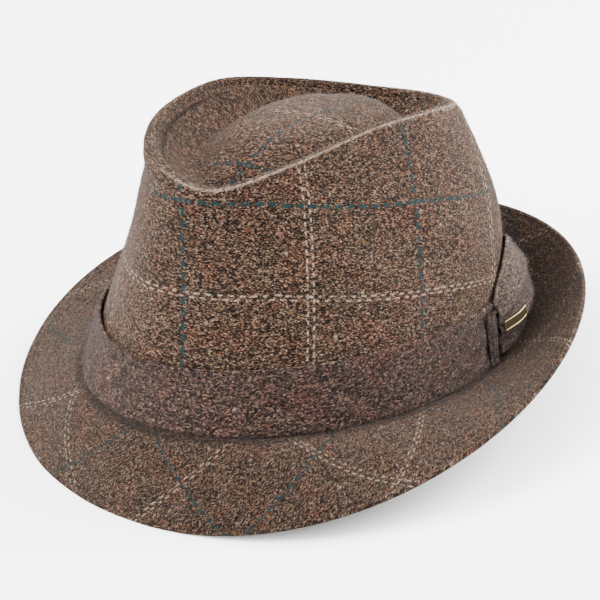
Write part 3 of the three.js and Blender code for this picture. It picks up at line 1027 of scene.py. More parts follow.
def flannel_material():
    tree, cloth, colour, yarn, finish = wool_material(
        "wool_flannel",
        flecks=FLANNEL_FLECKS,
        row=0.44,
        dash=1.10,
        wobble=1.4,
        haze=0.20,
        haze_colour=FLANNEL_HAZE,
        drift=FLANNEL_DRIFT,
    )
    return finish(neps(tree, colour, cloth, yarn["Second"], cell=26, size=0.9, palette=FLANNEL_NEPS))


FLANNEL = flannel_material()
print("material:", FLANNEL.name)

# %% [markdown]
# ## Measuring a surface
# Each surface is worked out as a grid of points, rows down the cloth and columns along it. The weave needs
# true lengths on it, and the thickness needs its normals.

# %% Normals and lengths of a grid
def normals_of(grid, closed):
    if closed:
        over = np.roll(grid, -1, 1) - np.roll(grid, 1, 1)
    else:
        over = np.gradient(grid, axis=1)
    return unit(np.cross(over, np.gradient(grid, axis=0)))


def lengths_down(grid):
    """Distance along each column from its first row."""
    steps = np.linalg.norm(np.diff(grid, axis=0), axis=-1)
    return np.concatenate([np.zeros((1, grid.shape[1])), np.cumsum(steps, 0)])


def lengths_along(grid):
    steps = np.linalg.norm(np.diff(grid, axis=1), axis=-1)
    return np.concatenate([np.zeros((grid.shape[0], 1)), np.cumsum(steps, 1)], 1)


print("helpers:", normals_of.__name__, lengths_down.__name__, lengths_along.__name__)

# %% [markdown]
# ## Faces and meshes
# A grid of point numbers becomes four-sided faces, and the weave map is kept for each corner of each face,
# so that it has no jump where the ring of columns closes. One function makes the mesh, lets it ride on the
# hat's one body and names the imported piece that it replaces.

# %% Faces, corners and the mesh
def quads_of(index, closed):
    right = np.roll(index, -1, 1) if closed else index[:, 1:]
    left = index if closed else index[:, :-1]
    return np.stack([left[:-1], right[:-1], right[1:], left[1:]], -1).reshape(-1, 4)


def corners_of(uv):
    return np.stack([uv[:-1, :-1], uv[:-1, 1:], uv[1:, 1:], uv[1:, :-1]], -2).reshape(-1, 4, 2)


def build(name, points, faces, corners, material, slot, node=None):
    """A mesh in the frame from upright points; it rides on the hat's one body."""
    mesh = bpy.data.meshes.new(name)
    mesh.from_pydata(placed(points).tolist(), [], [face for group in faces for face in group.tolist()])
    if corners is not None:
        layer = mesh.uv_layers.new(name="cloth")
        flat = np.concatenate([group.reshape(-1, 2) for group in corners])
        layer.data.foreach_set("uv", flat.astype(np.float32).ravel())
    mesh.polygons.foreach_set("use_smooth", np.ones(len(mesh.polygons), bool))
    mesh.materials.append(material)
    piece = bpy.data.objects.new(name, mesh)
    bpy.context.scene.collection.objects.link(piece)
    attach(piece, "root")
    if node:
        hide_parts(node)
    triangles = sum(len(group) * (group.shape[1] - 2) for group in faces)
    print(name, "has", triangles, "triangles")
    return piece


def mark(piece, name, amount):
    """Writes a value for each point of the outer face, row by row, for the material to read."""
    values = np.zeros(len(piece.data.vertices), np.float32)
    values[: amount.size] = amount.ravel()
    piece.data.attributes.new(name, "FLOAT", "POINT").data.foreach_set("value", values)


print("helpers:", quads_of.__name__, corners_of.__name__, build.__name__, mark.__name__)

# %% [markdown]
# ## Making cloth from a surface
# Cloth has two faces and a rolled edge. A Solidify modifier could thicken a surface, but it would leave
# square edges and would not know which face carries the seams. So the outer face gets its relief, and the
# under face is closed to it along edges that roll over in a half round.

# %% Two faces and a rolled edge
def half_round(distance, cloth):
    """Half the thickness of the cloth at a distance from its rolled edge."""
    share = np.clip(distance / (cloth / 2), 0, 1)
    return cloth / 2 * np.sqrt(np.maximum(1 - (1 - share) ** 2, 0))


def cloth_faces(outer, cloth, relief=0.0, closed=True, rolled_last=True):
    """The outer and under faces of the cloth; its edges roll over, the last one if it is a real edge."""
    normal = normals_of(outer, closed)
    down = lengths_down(outer)
    distance = np.minimum(down, down[-1:] - down) if rolled_last else down
    if not closed:
        over = lengths_along(outer)
        distance = np.minimum(distance, np.minimum(over, over[:, -1:] - over))
    half = half_round(distance, cloth)[..., None]
    middle = outer - normal * cloth / 2
    fade = (half / (cloth / 2)) ** 2
    top = middle + normal * half + normal * np.broadcast_to(relief, distance.shape)[..., None] * fade
    return top, middle - normal * half, normal


print("a cloth of 2 mm is", half_round(0.5, 2.0).round(2), "mm off its middle half a millimetre in")

# %% [markdown]
# Cloth that goes round the hat is a sleeve, whose two edges are both rolled. The under face is plain and
# hardly seen, so it gets fewer rows.

# %% Sleeve
def fewer_rows(count, ends=5, every=3):
    """Row numbers for the plain under face: all near its edges, one in every few between."""
    return sorted(set(range(0, count, every)) | set(range(ends)) | set(range(count - ends, count)))


def sleeve(outer, uv, cloth, relief=0.0):
    """Closed cloth around the hat, as points, faces and weave corners."""
    top, under, normal = cloth_faces(outer, cloth, relief)
    keep = fewer_rows(len(outer))[1:-1][::-1]
    loop = np.concatenate([top, under[keep]])
    rows, columns = loop.shape[:2]
    index = np.arange(rows * columns).reshape(rows, columns)
    index = np.concatenate([index, index[:1]])
    maps = np.concatenate([uv, uv[keep], uv[:1]])
    return loop.reshape(-1, 3), [quads_of(index, True)], [corners_of(maps)], top, normal


print("helpers:", fewer_rows.__name__, sleeve.__name__)

# %% [markdown]
# The tip is a disc: only its outer edge is real, and in the middle all columns meet in one point. The wing,
# the knot and the plate are patches, with four edges.

# %% Disc and patch
def disc(outer, uv, cloth, relief=0.0):
    """Closed cloth with a middle, whose last row is one point."""
    top, under, normal = cloth_faces(outer, cloth, relief, rolled_last=False)
    keep = fewer_rows(len(outer) - 1)[1:]
    columns = outer.shape[1]
    upper = top[:-1].reshape(-1, 3)
    lower = under[keep].reshape(-1, 3)
    points = np.concatenate([upper, lower, top[-1:, 0], under[-1:, 0]])
    upper_index = np.arange(len(upper)).reshape(-1, columns)
    under_index = len(upper) + np.arange(len(lower)).reshape(-1, columns)
    lower_index = np.concatenate([upper_index[:1], under_index])
    faces = [quads_of(upper_index, True), quads_of(lower_index, True)[:, ::-1]]
    corners = [corners_of(uv[:-1]), corners_of(uv[[0] + keep])[:, ::-1]]
    pole = len(points) - 2
    around_it = np.stack([uv[-2, :-1], uv[-2, 1:], uv[-1, :-1]], 1)
    for way, index in ((1, upper_index[-1]), (-1, lower_index[-1])):
        fan = np.stack([index, np.roll(index, -1), np.full(columns, pole)], -1)
        faces.append(fan[:, ::way])
        corners.append(around_it[:, ::way])
        pole += 1
    return points, faces, corners, top, normal


def patch(outer, uv, cloth, relief=0.0):
    """Closed cloth with four edges."""
    top, under, normal = cloth_faces(outer, cloth, relief, closed=False)
    rows, columns = outer.shape[:2]
    upper = np.arange(rows * columns).reshape(rows, columns)
    lower = upper.copy()
    inner = (rows - 2, columns - 2)
    lower[1:-1, 1:-1] = rows * columns + np.arange(inner[0] * inner[1]).reshape(inner)
    points = np.concatenate([top.reshape(-1, 3), under[1:-1, 1:-1].reshape(-1, 3)])
    faces = [quads_of(upper, False), quads_of(lower, False)[:, ::-1]]
    corners = [corners_of(uv), corners_of(uv)[:, ::-1]]
    return points, faces, corners, top, normal


print("helpers:", disc.__name__, patch.__name__)

# %% [markdown]
# ## Soft unevenness
# No sewn cloth is perfectly even. A few crossing waves of odd lengths, the same each run, give a slow
# unevenness that no grid shows. They are worked out on the place in the cloth, so that neighbouring points
# agree and the surface stays smooth.

# %% Slow waves
SEED = 11
WAVES = 7
WAVE_SIZES = (0.7, 1.6)
DICE = np.random.default_rng(SEED)


def uneven(u, v, size, strength):
    """Slow waves over places u and v in millimetres, of about the given size."""
    total = np.zeros(np.broadcast(u, v).shape)
    for _ in range(WAVES):
        angle, phase = DICE.uniform(0, TURN, 2)
        wave = DICE.uniform(*WAVE_SIZES) * size
        total += np.sin((u * math.cos(angle) + v * math.sin(angle)) / wave * TURN + phase)
    return total * strength / WAVES


print("dice thrown with seed", SEED)

# %% [markdown]
# ## Rows and columns
# Columns start at the middle of the back, where the real cloth is joined. Rows are closer together near an
# edge or a seam, so each profile is given as runs of evenly spaced places.

# %% Places on the cloth
def angles(count):
    """Columns around the hat, starting at the middle of the back, and the same with the first repeated."""
    t = -np.pi + np.arange(count + 1) / count * TURN
    return t[:-1], t


def signed_lengths(grid):
    """Length along each row, zero at the front, with one more column than the closed grid has."""
    whole = np.concatenate([grid, grid[:, :1]], 1)
    total = lengths_along(whole)
    return total - total[:, [grid.shape[1] // 2]]


def spread(*runs):
    """Places along a profile: (start, end, steps) for each run."""
    parts = [np.linspace(a, b, n, endpoint=False) for a, b, n in runs]
    return np.concatenate(parts + [[runs[-1][1]]])


print("four columns start at", angles(4)[0].round(2))

# %% [markdown]
# ## The crown's side
# One long piece of tweed goes round the head and is joined at the middle of the back. Its top edge rolls
# over the ridge and goes down into the seam of the tip. A lathe or a cone would lose the egg shape, the
# pinched front and the ridge that dips in a wave, so the wall is lofted through the stations of the ridge
# table.

# %% Loft of the crown
def loft(levels, share):
    """A smooth surface through rows of points; share counts rows."""
    i = np.minimum(np.floor(share).astype(int), len(levels) - 2)
    f = (share - i)[:, None, None]
    gaps = np.linalg.norm(np.diff(levels, axis=0), axis=-1).mean(1)
    at = np.concatenate([[0], np.cumsum(gaps)])
    slope = np.gradient(levels, at, axis=0)
    gap = gaps[i][:, None, None]
    here, after = levels[i], levels[i + 1]
    return bent(here, after, slope[i] * gap, slope[i + 1] * gap, f)


def crown_levels(t):
    flat = np.ones_like(t)
    low = [wall(t, flat * k / CAD_WALL_ROWS) for k in range(CAD_WALL_ROWS + 1)]
    high = [rolled(t, flat * k / (len(ROLL) - 1)) for k in range(len(ROLL))]
    return np.stack(low + high)


print("the crown is lofted through", len(crown_levels(FRONT)), "rows")

# %% [markdown]
# The check was cut so that a teal line runs up near the front and a cream pair crosses the side, and the
# lines drop towards the back, where the cloth is shaped. The ridge stands up as a thin bead, painted paler
# on the near side, partly as rubbed wear and partly as a painted highlight, and the far side of the roll
# shows no check. At the back the cloth sinks into its seam.

# %% Crown side
CROWN_COLUMNS = 480
CROWN_SLOW = (34, 0.5)
CROWN_FINE = (9, 0.12)
BACK_SEAM_DEPTH = 0.7
BACK_SEAM_WIDE = 0.9
TEAL_NEAR_FRONT = 30.5
TEAL_LEANS = 0.178
CREST_AT = 1.9
CREST_WIDE = 0.3
CREST_BEAD = 0.5
SEAM_DIP = 0.5
SEAM_DIP_ROWS = 1.8
NEAR_SEAM_ROWS = 0.4
HIGHLIGHT_IN_FRONT, HIGHLIGHT_TO_SIDE = 0.45, 1.6
FAR_SIDE_FADE = 2
DROP_AT = np.radians((0, 15, 33, 50, 65, 85, 99, 132, 180))
DROP_BY = (0, 0, 0.4, 1.2, 4.9, 11.5, 15.5, 27, 32)


def crown_side():
    t, around_once = angles(CROWN_COLUMNS)
    last_wall = CAD_WALL_ROWS
    seam = last_wall + len(ROLL)
    near_seam = seam - NEAR_SEAM_ROWS
    share = spread((0, 0.08, 4), (0.08, last_wall, 52), (last_wall, near_seam, 30), (near_seam, seam, 5))
    outer = loft(crown_levels(t), share)
    along_row = signed_lengths(outer)
    up = np.concatenate([lengths_down(outer), lengths_down(outer)[:, :1]], 1)
    height = np.concatenate([outer[..., 2], outer[:, :1, 2]], 1)
    drop = np.interp(np.abs(around_once), DROP_AT, DROP_BY)
    uv = np.stack([along_row - (TEAL_NEAR_FRONT - TEAL_LEANS * height), up + drop], -1)
    here = along_row[:, :-1], up[:, :-1]
    relief = uneven(*here, *CROWN_SLOW) + uneven(*here, *CROWN_FINE)
    back_seam = np.abs(here[0]).max(1, keepdims=True) - np.abs(here[0])
    relief = relief - BACK_SEAM_DEPTH * np.exp(-((back_seam / BACK_SEAM_WIDE) ** 2))
    crest = np.exp(-(((share - last_wall - CREST_AT) / CREST_WIDE) ** 2))[:, None]
    dip = np.clip(share - last_wall - len(ROLL) + SEAM_DIP_ROWS, 0, 1)[:, None]
    relief = relief + CREST_BEAD * crest - SEAM_DIP * dip
    points, faces, corners, top, normal = sleeve(outer, uv, CROWN_CLOTH, relief)
    piece = build("crown_side_cloth", points, faces, corners, TWEED, "tweed", "crown_side")
    # the crest is painted paler on the near side: partly rubbed wear, partly a painted highlight
    near_side = np.clip(HIGHLIGHT_IN_FRONT + HIGHLIGHT_TO_SIDE * np.sin(t), 0, 1)
    mark(piece, "worn", crest**3 * near_side)
    far_side = np.clip(-FAR_SIDE_FADE * np.sin(t), 0, 1)
    mark(piece, "plain", np.clip(share - last_wall + 1, 0, 1)[:, None] * far_side)
    return top, normal


CROWN_TOP, CROWN_NORMAL = crown_side()

# %% [markdown]
# ## The crown's tip
# The tip is the panel that closes the crown. In a teardrop crown it is sunk below the ridge all round and
# rises again to a dome in the middle, and towards the front the two sides pinch together. It could be
# pushed in by a cloth simulation, but a hat keeps this form because it was steamed on a block, so the form
# is given directly, and only the slow unevenness is left to chance. A crease follows the seam where the
# front left of the tip is pressed into its corner, and painted shade darkens it. The back left of the tip
# shows no check.

# %% Crown tip
TIP_COLUMNS = 300
TIP_SLOW = (26, 0.6)
TIP_FINE = (8, 0.12)
EVEN_AT_SEAM = 8
CREASE_FADE = 18
CREASE_PAINTED_SHADE = 0.9
PLAIN_FADE = 6
TIP_LINE_X = 9
TIP_LINE_Y = -57
TIP_SKEW = 0.33
CREASE_IN = 3.2
CREASE_WIDE = 1.0
CREASE_DEPTH = 0.6
CREASE_FROM = -95
CREASE_TO = 22
PLAIN_LEFT_OF = -8
PLAIN_BEHIND = -52


def crown_tip():
    t, _ = angles(TIP_COLUMNS)
    share = spread((0, 0.03, 5), (0.03, 0.1, 13), (0.1, 1, 56))
    outer = tip(t[None], share[:, None])
    down = lengths_down(outer)
    from_middle = down[-1:] - down
    plan = unit(outer[0, :, :2] - outer[-1, 0, :2])
    spokes = from_middle[..., None] * plan
    spokes = np.concatenate([spokes, spokes[:, :1]], 1)
    x = spokes[..., 0] - TIP_LINE_X
    y = spokes[..., 1] - TIP_SKEW * spokes[..., 0] - TIP_LINE_Y + CHECK_TALL + TEAL_ACROSS_AT
    here = outer[..., 0], outer[..., 1]
    relief = uneven(*here, *TIP_SLOW) + uneven(*here, *TIP_FINE)
    relief = relief * np.minimum(share * EVEN_AT_SEAM, 1)[:, None]
    inside = np.minimum(np.degrees(t) - CREASE_FROM, CREASE_TO - np.degrees(t))
    window = np.clip(inside / CREASE_FADE, 0, 1)
    crease = np.exp(-(((down - CREASE_IN) / CREASE_WIDE) ** 2)) * window
    relief = relief - CREASE_DEPTH * crease
    points, faces, corners, top, normal = disc(outer, np.stack([x, y], -1), CROWN_CLOTH, relief)
    piece = build("crown_tip_cloth", points, faces, corners, TWEED, "tweed", "crown_tip")
    # painted shade darkens the crease
    mark(piece, "deep", CREASE_PAINTED_SHADE * crease[:-1])
    left = np.clip((PLAIN_LEFT_OF - outer[:-1, :, 0]) / PLAIN_FADE, 0, 1)
    mark(piece, "plain", left * np.clip((outer[:-1, :, 1] - PLAIN_BEHIND) / PLAIN_FADE, 0, 1))
    return top, normal


TIP_TOP, TIP_NORMAL = crown_tip()

# %% [markdown]
# ## The brim
# The brim is a strip cut on the bias, so that it can sweep down in front and up at the back without
# folds. Its check therefore runs slantwise, as two crossing families of lines. Two layers are sewn
# together with rows of stitching that follow the edge: each row pulls the cloth into a shallow groove,
# deeper at the back. The edge itself is turned and rolls over. The whole brim carries a little painted
# shade, so it is darker than the crown, and more painted shade in the corner where the band meets it.

# %% Brim
BRIM_COLUMNS = 560
BRIM_SLOW = (30, 0.55)
BRIM_FINE = (8, 0.12)
GROOVE_WIDE = 0.8
PULLED_IN_FRONT = 0.4
STITCH_ROWS = (3.2, 7.6, 12.2, 16.8, 21.4, 26)
STITCH_DEPTHS = (0.6, 0.42, 0.36, 0.34, 0.3, 0.26)
JOIN_PAINTED_SHADE = 0.7
JOIN_WIDE = 2.2
BRIM_PAINTED_SHADE = 0.24
BIAS_TEAL_LEFT = 22
BIAS_TEAL_RIGHT = 12
BIAS_SCALE = (0.807, 0.81)


def brim_surface(t, across):
    return brim(t[None], across[:, None])


def brim_piece():
    t, _ = angles(BRIM_COLUMNS)
    across = spread((1, 0.97, 6), (0.97, 0.5, 34), (0.5, 0, 22), (0, -1, 5))
    outer = brim_surface(t, across)
    mid = signed_lengths(brim_surface(t, np.full(2, 0.5)))[:1]
    from_edge = lengths_down(outer)
    ring_row = int(np.argmin(np.abs(across)))
    from_ring = from_edge[ring_row] - from_edge
    s = np.repeat(mid, len(across), 0)
    r = np.concatenate([from_ring, from_ring[:, :1]], 1)
    one_way = (s - r - BIAS_TEAL_LEFT) * BIAS_SCALE[0]
    other_way = (s + r - BIAS_TEAL_RIGHT) * BIAS_SCALE[1] + CHECK_TALL + TEAL_ACROSS_AT
    uv = np.stack([one_way, other_way], -1)
    here = s[:, :-1], r[:, :-1]
    relief = uneven(*here, *BRIM_SLOW) + uneven(*here, *BRIM_FINE)
    pulled = PULLED_IN_FRONT + (1 - PULLED_IN_FRONT) * np.sin(t / 2) ** 2
    for row, depth in zip(STITCH_ROWS, STITCH_DEPTHS):
        relief = relief - depth * pulled * np.exp(-(((from_edge - row) / GROOVE_WIDE) ** 2))
    points, faces, corners, top, normal = sleeve(outer, uv, BRIM_CLOTH, relief * (across >= 0)[:, None])
    piece = build("brim_cloth", points, faces, corners, TWEED, "tweed", "brim")
    # painted shade: a little all over the brim, and more in the corner where the band meets it
    join = np.clip(1 - (from_ring - BAND_CLOTH - GAP) / JOIN_WIDE, 0, 1)
    mark(piece, "deep", np.maximum(BRIM_PAINTED_SHADE, JOIN_PAINTED_SHADE * join))
    return top, normal, from_edge


BRIM_TOP, BRIM_NORMAL, BRIM_FROM_EDGE = brim_piece()

# %% [markdown]
# ## The hatband
# A folded strip of flannel lies round the foot of the crown. It is not pulled tight: it lies in soft,
# long folds that come and go, and stands off a little at one side. Its upper edge is a soft fold. The folds
# are waves up the band whose strength and place drift slowly around the hat. Its lower edge lies in shade.

# %% Hatband
BAND_COLUMNS = 560
FOLD_TALL = 12.5
FOLD_DEPTH = 0.55
FOLD_SHARE = 0.55
FOLD_DRIFT = (90, 2.2)
FOLD_COMES = (60, 0.9)
BAND_FINE = (14, 0.4)
BAND_SUNK = 0.3
EDGE_SHADE = 0.07


def band_surface(t, rise, relief):
    off = np.degrees(t) - BAND_FLARE_AT
    near = np.abs((off + 540) % 360 - 180) / BAND_FLARE_SPREAD
    flare = np.where(near < 1, BAND_FLARE * rise**2 * np.cos(np.minimum(near, 1) * np.pi / 2) ** 2, 0)
    return off_wall(t, GAP + rise * BAND_HEIGHT, GAP + flare + BAND_CLOTH + relief)


def hatband():
    t, _ = angles(BAND_COLUMNS)
    rise = spread((0, 0.05, 5), (0.05, 0.95, 30), (0.95, 1, 5))
    tt, rr = np.broadcast_arrays(t[None], rise[:, None])
    outer = band_surface(tt, rr, np.zeros(tt.shape))
    s = signed_lengths(outer)
    up = np.repeat((rise * BAND_HEIGHT)[:, None], s.shape[1], 1)
    round_the_hat = s[:, :-1]
    drift = uneven(round_the_hat, 0 * round_the_hat, *FOLD_DRIFT)
    strength = FOLD_SHARE + uneven(round_the_hat, 0 * round_the_hat, *FOLD_COMES)
    folds = strength * np.sin(TURN * (up[:, :-1] / FOLD_TALL + drift)) * FOLD_DEPTH
    relief = folds + uneven(round_the_hat, up[:, :-1], *BAND_FINE) - BAND_SUNK
    points, faces, corners, top, normal = sleeve(outer, np.stack([s, up], -1), BAND_CLOTH, relief)
    piece = build("hatband_cloth", points, faces, corners, FLANNEL, "band_wool", "hatband")
    # painted shade along the lower edge of the band, where it meets the brim
    mark(piece, "deep", JOIN_PAINTED_SHADE * np.clip(1 - rr / EDGE_SHADE, 0, 1))
    return top, normal


BAND_TOP, BAND_NORMAL = hatband()

# %% [markdown]
# ## The bow's wing
# On the wearer's left the band ends in a flat bow: a knot, and one wing that fans out behind it. The wing
# is gathered at the knot, so its folds start there close together and open towards the free end. Above the
# band it leans in to the crown, and it is painted paler towards its upper free end, partly as rubbed wear
# and partly as painted light.

# %% Bow wing
WING_WORN_AND_LIT = 0.7
PALER_LOW = 0.35
PALER_AT_KNOT = 0.4
HUG_WITHIN = 7
GATHERS = 7
GATHER_DEPTH = 0.45
GATHER_FADE = 3.5
WING_SLOW = (16, 0.45)


def wing_point(s, h, out, folded=1.0):
    t = np.radians(along(WING, WING_ANGLE, s))
    low, high = along(WING, WING_LOW, s), along(WING, WING_HIGH, s)
    above = np.clip((low + (high - low) * h - BAND_HEIGHT) / HUG_WITHIN, 0, 1)
    hug = GAP + (GAP + BAND_CLOTH) * (1 - above * above * (3 - 2 * above))
    arch = np.sin(np.pi * (WING_TUCK_LOW + (1 - WING_TUCK_HIGH - WING_TUCK_LOW) * h))
    puff = (along(WING, WING_AWAY, s) - hug) * arch
    fold = folded * WING_FOLD_DEPTH * np.sin(TURN * WING_FOLDS * h)
    return off_wall(t, low + (high - low) * h, hug + puff + fold + out)


def bow_wing():
    s = spread((0, 0.03, 4), (0.03, 0.97, 90), (0.97, 1, 4))
    h = spread((0, 0.04, 5), (0.04, 0.96, 70), (0.96, 1, 5))
    ss, hh = np.broadcast_arrays(s[None], h[:, None])
    outer = wing_point(ss, hh, WING_CLOTH)
    over = lengths_along(outer)
    up = lengths_down(outer)
    gathers = GATHER_DEPTH * np.sin(TURN * GATHERS * hh + 1.0) * np.exp(-ss * GATHER_FADE)
    relief = gathers + uneven(over, up, *WING_SLOW)
    points, faces, corners, top, normal = patch(outer, np.stack([over, up], -1), WING_CLOTH, relief)
    piece = build("bow_wing_cloth", points, faces, corners, FLANNEL, "band_wool", "bow_wing")
    # the wing is painted paler upward and outward: partly rubbed wear, partly painted light
    upward = PALER_LOW + (1 - PALER_LOW) * hh
    outward = PALER_AT_KNOT + (1 - PALER_AT_KNOT) * ss
    mark(piece, "worn", WING_WORN_AND_LIT * upward * outward)
    return top, normal


WING_TOP, WING_NORMAL = bow_wing()

# %% [markdown]
# ## The knot
# The knot is a narrow strap of the same flannel, wrapped over the band and the gathered end of the wing. It
# is round across, thickest towards the wing, and has fine pleats along it.

# %% Band knot
KNOT_EDGE = 0.5
PLEAT_DEPTH = 0.08
PLEAT_WIDE = 2.6
PLEAT_WANDER = 0.15
PLEAT_WANDER_TALL = 4
KNOT_SLOW = (9, 0.2)


def band_knot():
    across = spread((-1, -0.9, 4), (-0.9, 0.9, 26), (0.9, 1, 4))
    rise = spread((0, 0.04, 4), (0.04, 0.96, 40), (0.96, 1, 4))
    cc, rr = np.broadcast_arrays(across[None], rise[:, None])
    t = np.radians(KNOT_ANGLE) + cc * (KNOT_WIDTH / 2) / (RING_LENGTH / 2)
    thick = KNOT_EDGE + (KNOT_THICK - KNOT_EDGE) * np.sin((cc + 1) * np.pi / 3)
    out = 2 * GAP + BAND_CLOTH + thick
    outer = off_wall(t, KNOT_LOW + (KNOT_HIGH - KNOT_LOW) * rr, out)
    over, up = lengths_along(outer), lengths_down(outer)
    wander = PLEAT_WANDER * np.sin(up / PLEAT_WANDER_TALL)
    pleats = PLEAT_DEPTH * np.sin(TURN * (over / PLEAT_WIDE + wander))
    relief = pleats + uneven(over, up, *KNOT_SLOW)
    points, faces, corners, top, normal = patch(outer, np.stack([over, up], -1), KNOT_EDGE, relief)
    build("band_knot_cloth", points, faces, corners, FLANNEL, "band_wool", "band_knot")
    return top, normal


KNOT_TOP, KNOT_NORMAL = band_knot()

# %% [markdown]
# ## Antique brass
# The small plate is cast brass. Its raised rim has been rubbed bright, and its face has gone dark and
# slightly grainy. Bright and dark are one material: a value painted on the mesh tells the rim from the
# face, and a fine noise breaks the border between them, as handling does.

# %% Brass material
BRASS_BRIGHT = (0.27, 0.20, 0.095, 1)
BRASS_DARK = (0.075, 0.056, 0.030, 1)
BRASS_DULL, BRASS_POLISHED = 0.5, 0.34
GRAIN_SHARE = 0.9
BORDER_FROM, BORDER_TO = 0.25, 0.75


def brass_material():
    material = bpy.data.materials.new("antique_brass")
    material.use_nodes = True
    tree = material.node_tree
    shader = tree.nodes["Principled BSDF"]
    rubbed = put(tree, "ShaderNodeAttribute", {"attribute_name": "rubbed"})
    grain = put(tree, "ShaderNodeTexNoise", Vector=cloth_map(tree), Scale=3.0, Detail=4.0, Roughness=0.7)
    shift = sum_up(tree, "MULTIPLY_ADD", grain.outputs["Fac"], GRAIN_SHARE, -GRAIN_SHARE / 2)
    worn = put(tree, "ShaderNodeMapRange", Value=sum_up(tree, "ADD", rubbed.outputs["Fac"], shift))
    worn.inputs["From Min"].default_value = BORDER_FROM
    worn.inputs["From Max"].default_value = BORDER_TO
    colour = blend_colours(tree, worn.outputs["Result"], BRASS_DARK, BRASS_BRIGHT)
    tree.links.new(colour, shader.inputs["Base Color"])
    rough = put(tree, "ShaderNodeMapRange", Value=worn.outputs["Result"])
    rough.inputs["To Min"].default_value = BRASS_DULL
    rough.inputs["To Max"].default_value = BRASS_POLISHED
    tree.links.new(rough.outputs["Result"], shader.inputs["Roughness"])
    bump = put(tree, "ShaderNodeBump", Height=grain.outputs["Fac"], Strength=0.5, Distance=0.0002)
    tree.links.new(bump.outputs["Normal"], shader.inputs["Normal"])
    shader.inputs["Metallic"].default_value = 1.0
    return material


BRASS = brass_material()
print("material:", BRASS.name)

# %% [markdown]
# ## The metal plate
# It is a thin bar bent to the wing, with a raised rim around a sunken, bare face. It sits on the crests of
# the wing's folds.

# %% Badge plate
RIM_WIDE = 0.5
RIM_SLOPE = 0.3
FACE_DOWN = 0.35


def badge_plate():
    across = spread((-0.5, -0.46, 4), (-0.46, 0.46, 60), (0.46, 0.5, 4))
    rise = spread((-0.5, -0.42, 4), (-0.42, 0.42, 24), (0.42, 0.5, 4))
    cc, rr = np.broadcast_arrays(across[None] * BADGE_LENGTH, rise[:, None] * BADGE_HEIGHT)
    tilt = math.radians(BADGE_TILT)
    up = BADGE_UP + cc * math.sin(tilt) + rr
    angle = BADGE_ANGLE + np.degrees(cc * math.cos(tilt) / (RING_LENGTH / 2))
    s = (angle - WING[0, WING_ANGLE]) / np.ptp(WING[:, WING_ANGLE])
    low, high = along(WING, WING_LOW, s), along(WING, WING_HIGH, s)
    seat = WING_CLOTH + WING_FOLD_DEPTH + GAP
    outer = wing_point(s, (up - low) / (high - low), seat + BADGE_THICK, 0.0)
    edge = np.minimum(BADGE_LENGTH / 2 - np.abs(cc), BADGE_HEIGHT / 2 - np.abs(rr))
    sunk = np.clip((edge - RIM_WIDE) / RIM_SLOPE, 0, 1)
    uv = np.stack([cc, rr], -1)
    points, faces, corners, _, _ = patch(outer, uv, BADGE_THICK, -FACE_DOWN * sunk)
    piece = build("badge_plate_brass", points, faces, corners, BRASS, "badge_metal", "badge_plate")
    mark(piece, "rubbed", 1 - sunk)


badge_plate()

# %% [markdown]
# ## Stitching
# The rows of stitches on the brim are sunk into their grooves, and the thread is nearly the colour of the
# cloth. Each stitch is a short bead of thread whose two ends dive into the cloth. A texture could hint at
# them, but they catch the light one by one, so they are modelled: one small closed shape, repeated along
# the row by a loop and joined into one mesh.

# %% Stitches along a row
STITCH_LENGTH = 2.3
STITCH_PITCH = 3.0
THREAD = 0.28
THREAD_SIDES = 5
THREAD_SUNK = 0.1
THREAD_FLAT = 0.8
STITCH_STRAYS = 0.12
LOOK_AHEAD = 0.3
STITCH_RINGS = (
    (0.0, 0.35, -0.25),
    (0.12, 0.9, 0.0),
    (0.35, 1.0, 0.14),
    (0.65, 1.0, 0.14),
    (0.88, 0.9, 0.0),
    (1.0, 0.35, -0.25),
)


def row_line(top, normal, from_edge, distance):
    """The closed line on a surface at one distance from its edge, with its normals."""
    numbers = np.arange(len(from_edge))
    c = np.arange(top.shape[1])
    rows = np.array([np.interp(distance, from_edge[:, k], numbers) for k in c])
    low = np.floor(rows).astype(int)
    f = (rows - low)[:, None]
    point = top[low, c] * (1 - f) + top[low + 1, c] * f
    return point, unit(normal[low, c] * (1 - f) + normal[low + 1, c] * f)


print("a stitch has", len(STITCH_RINGS), "rings of", THREAD_SIDES, "points")

# %% [markdown]
# The loop walks along each row and sets one bead after the other, a little early or late, as a needle does.

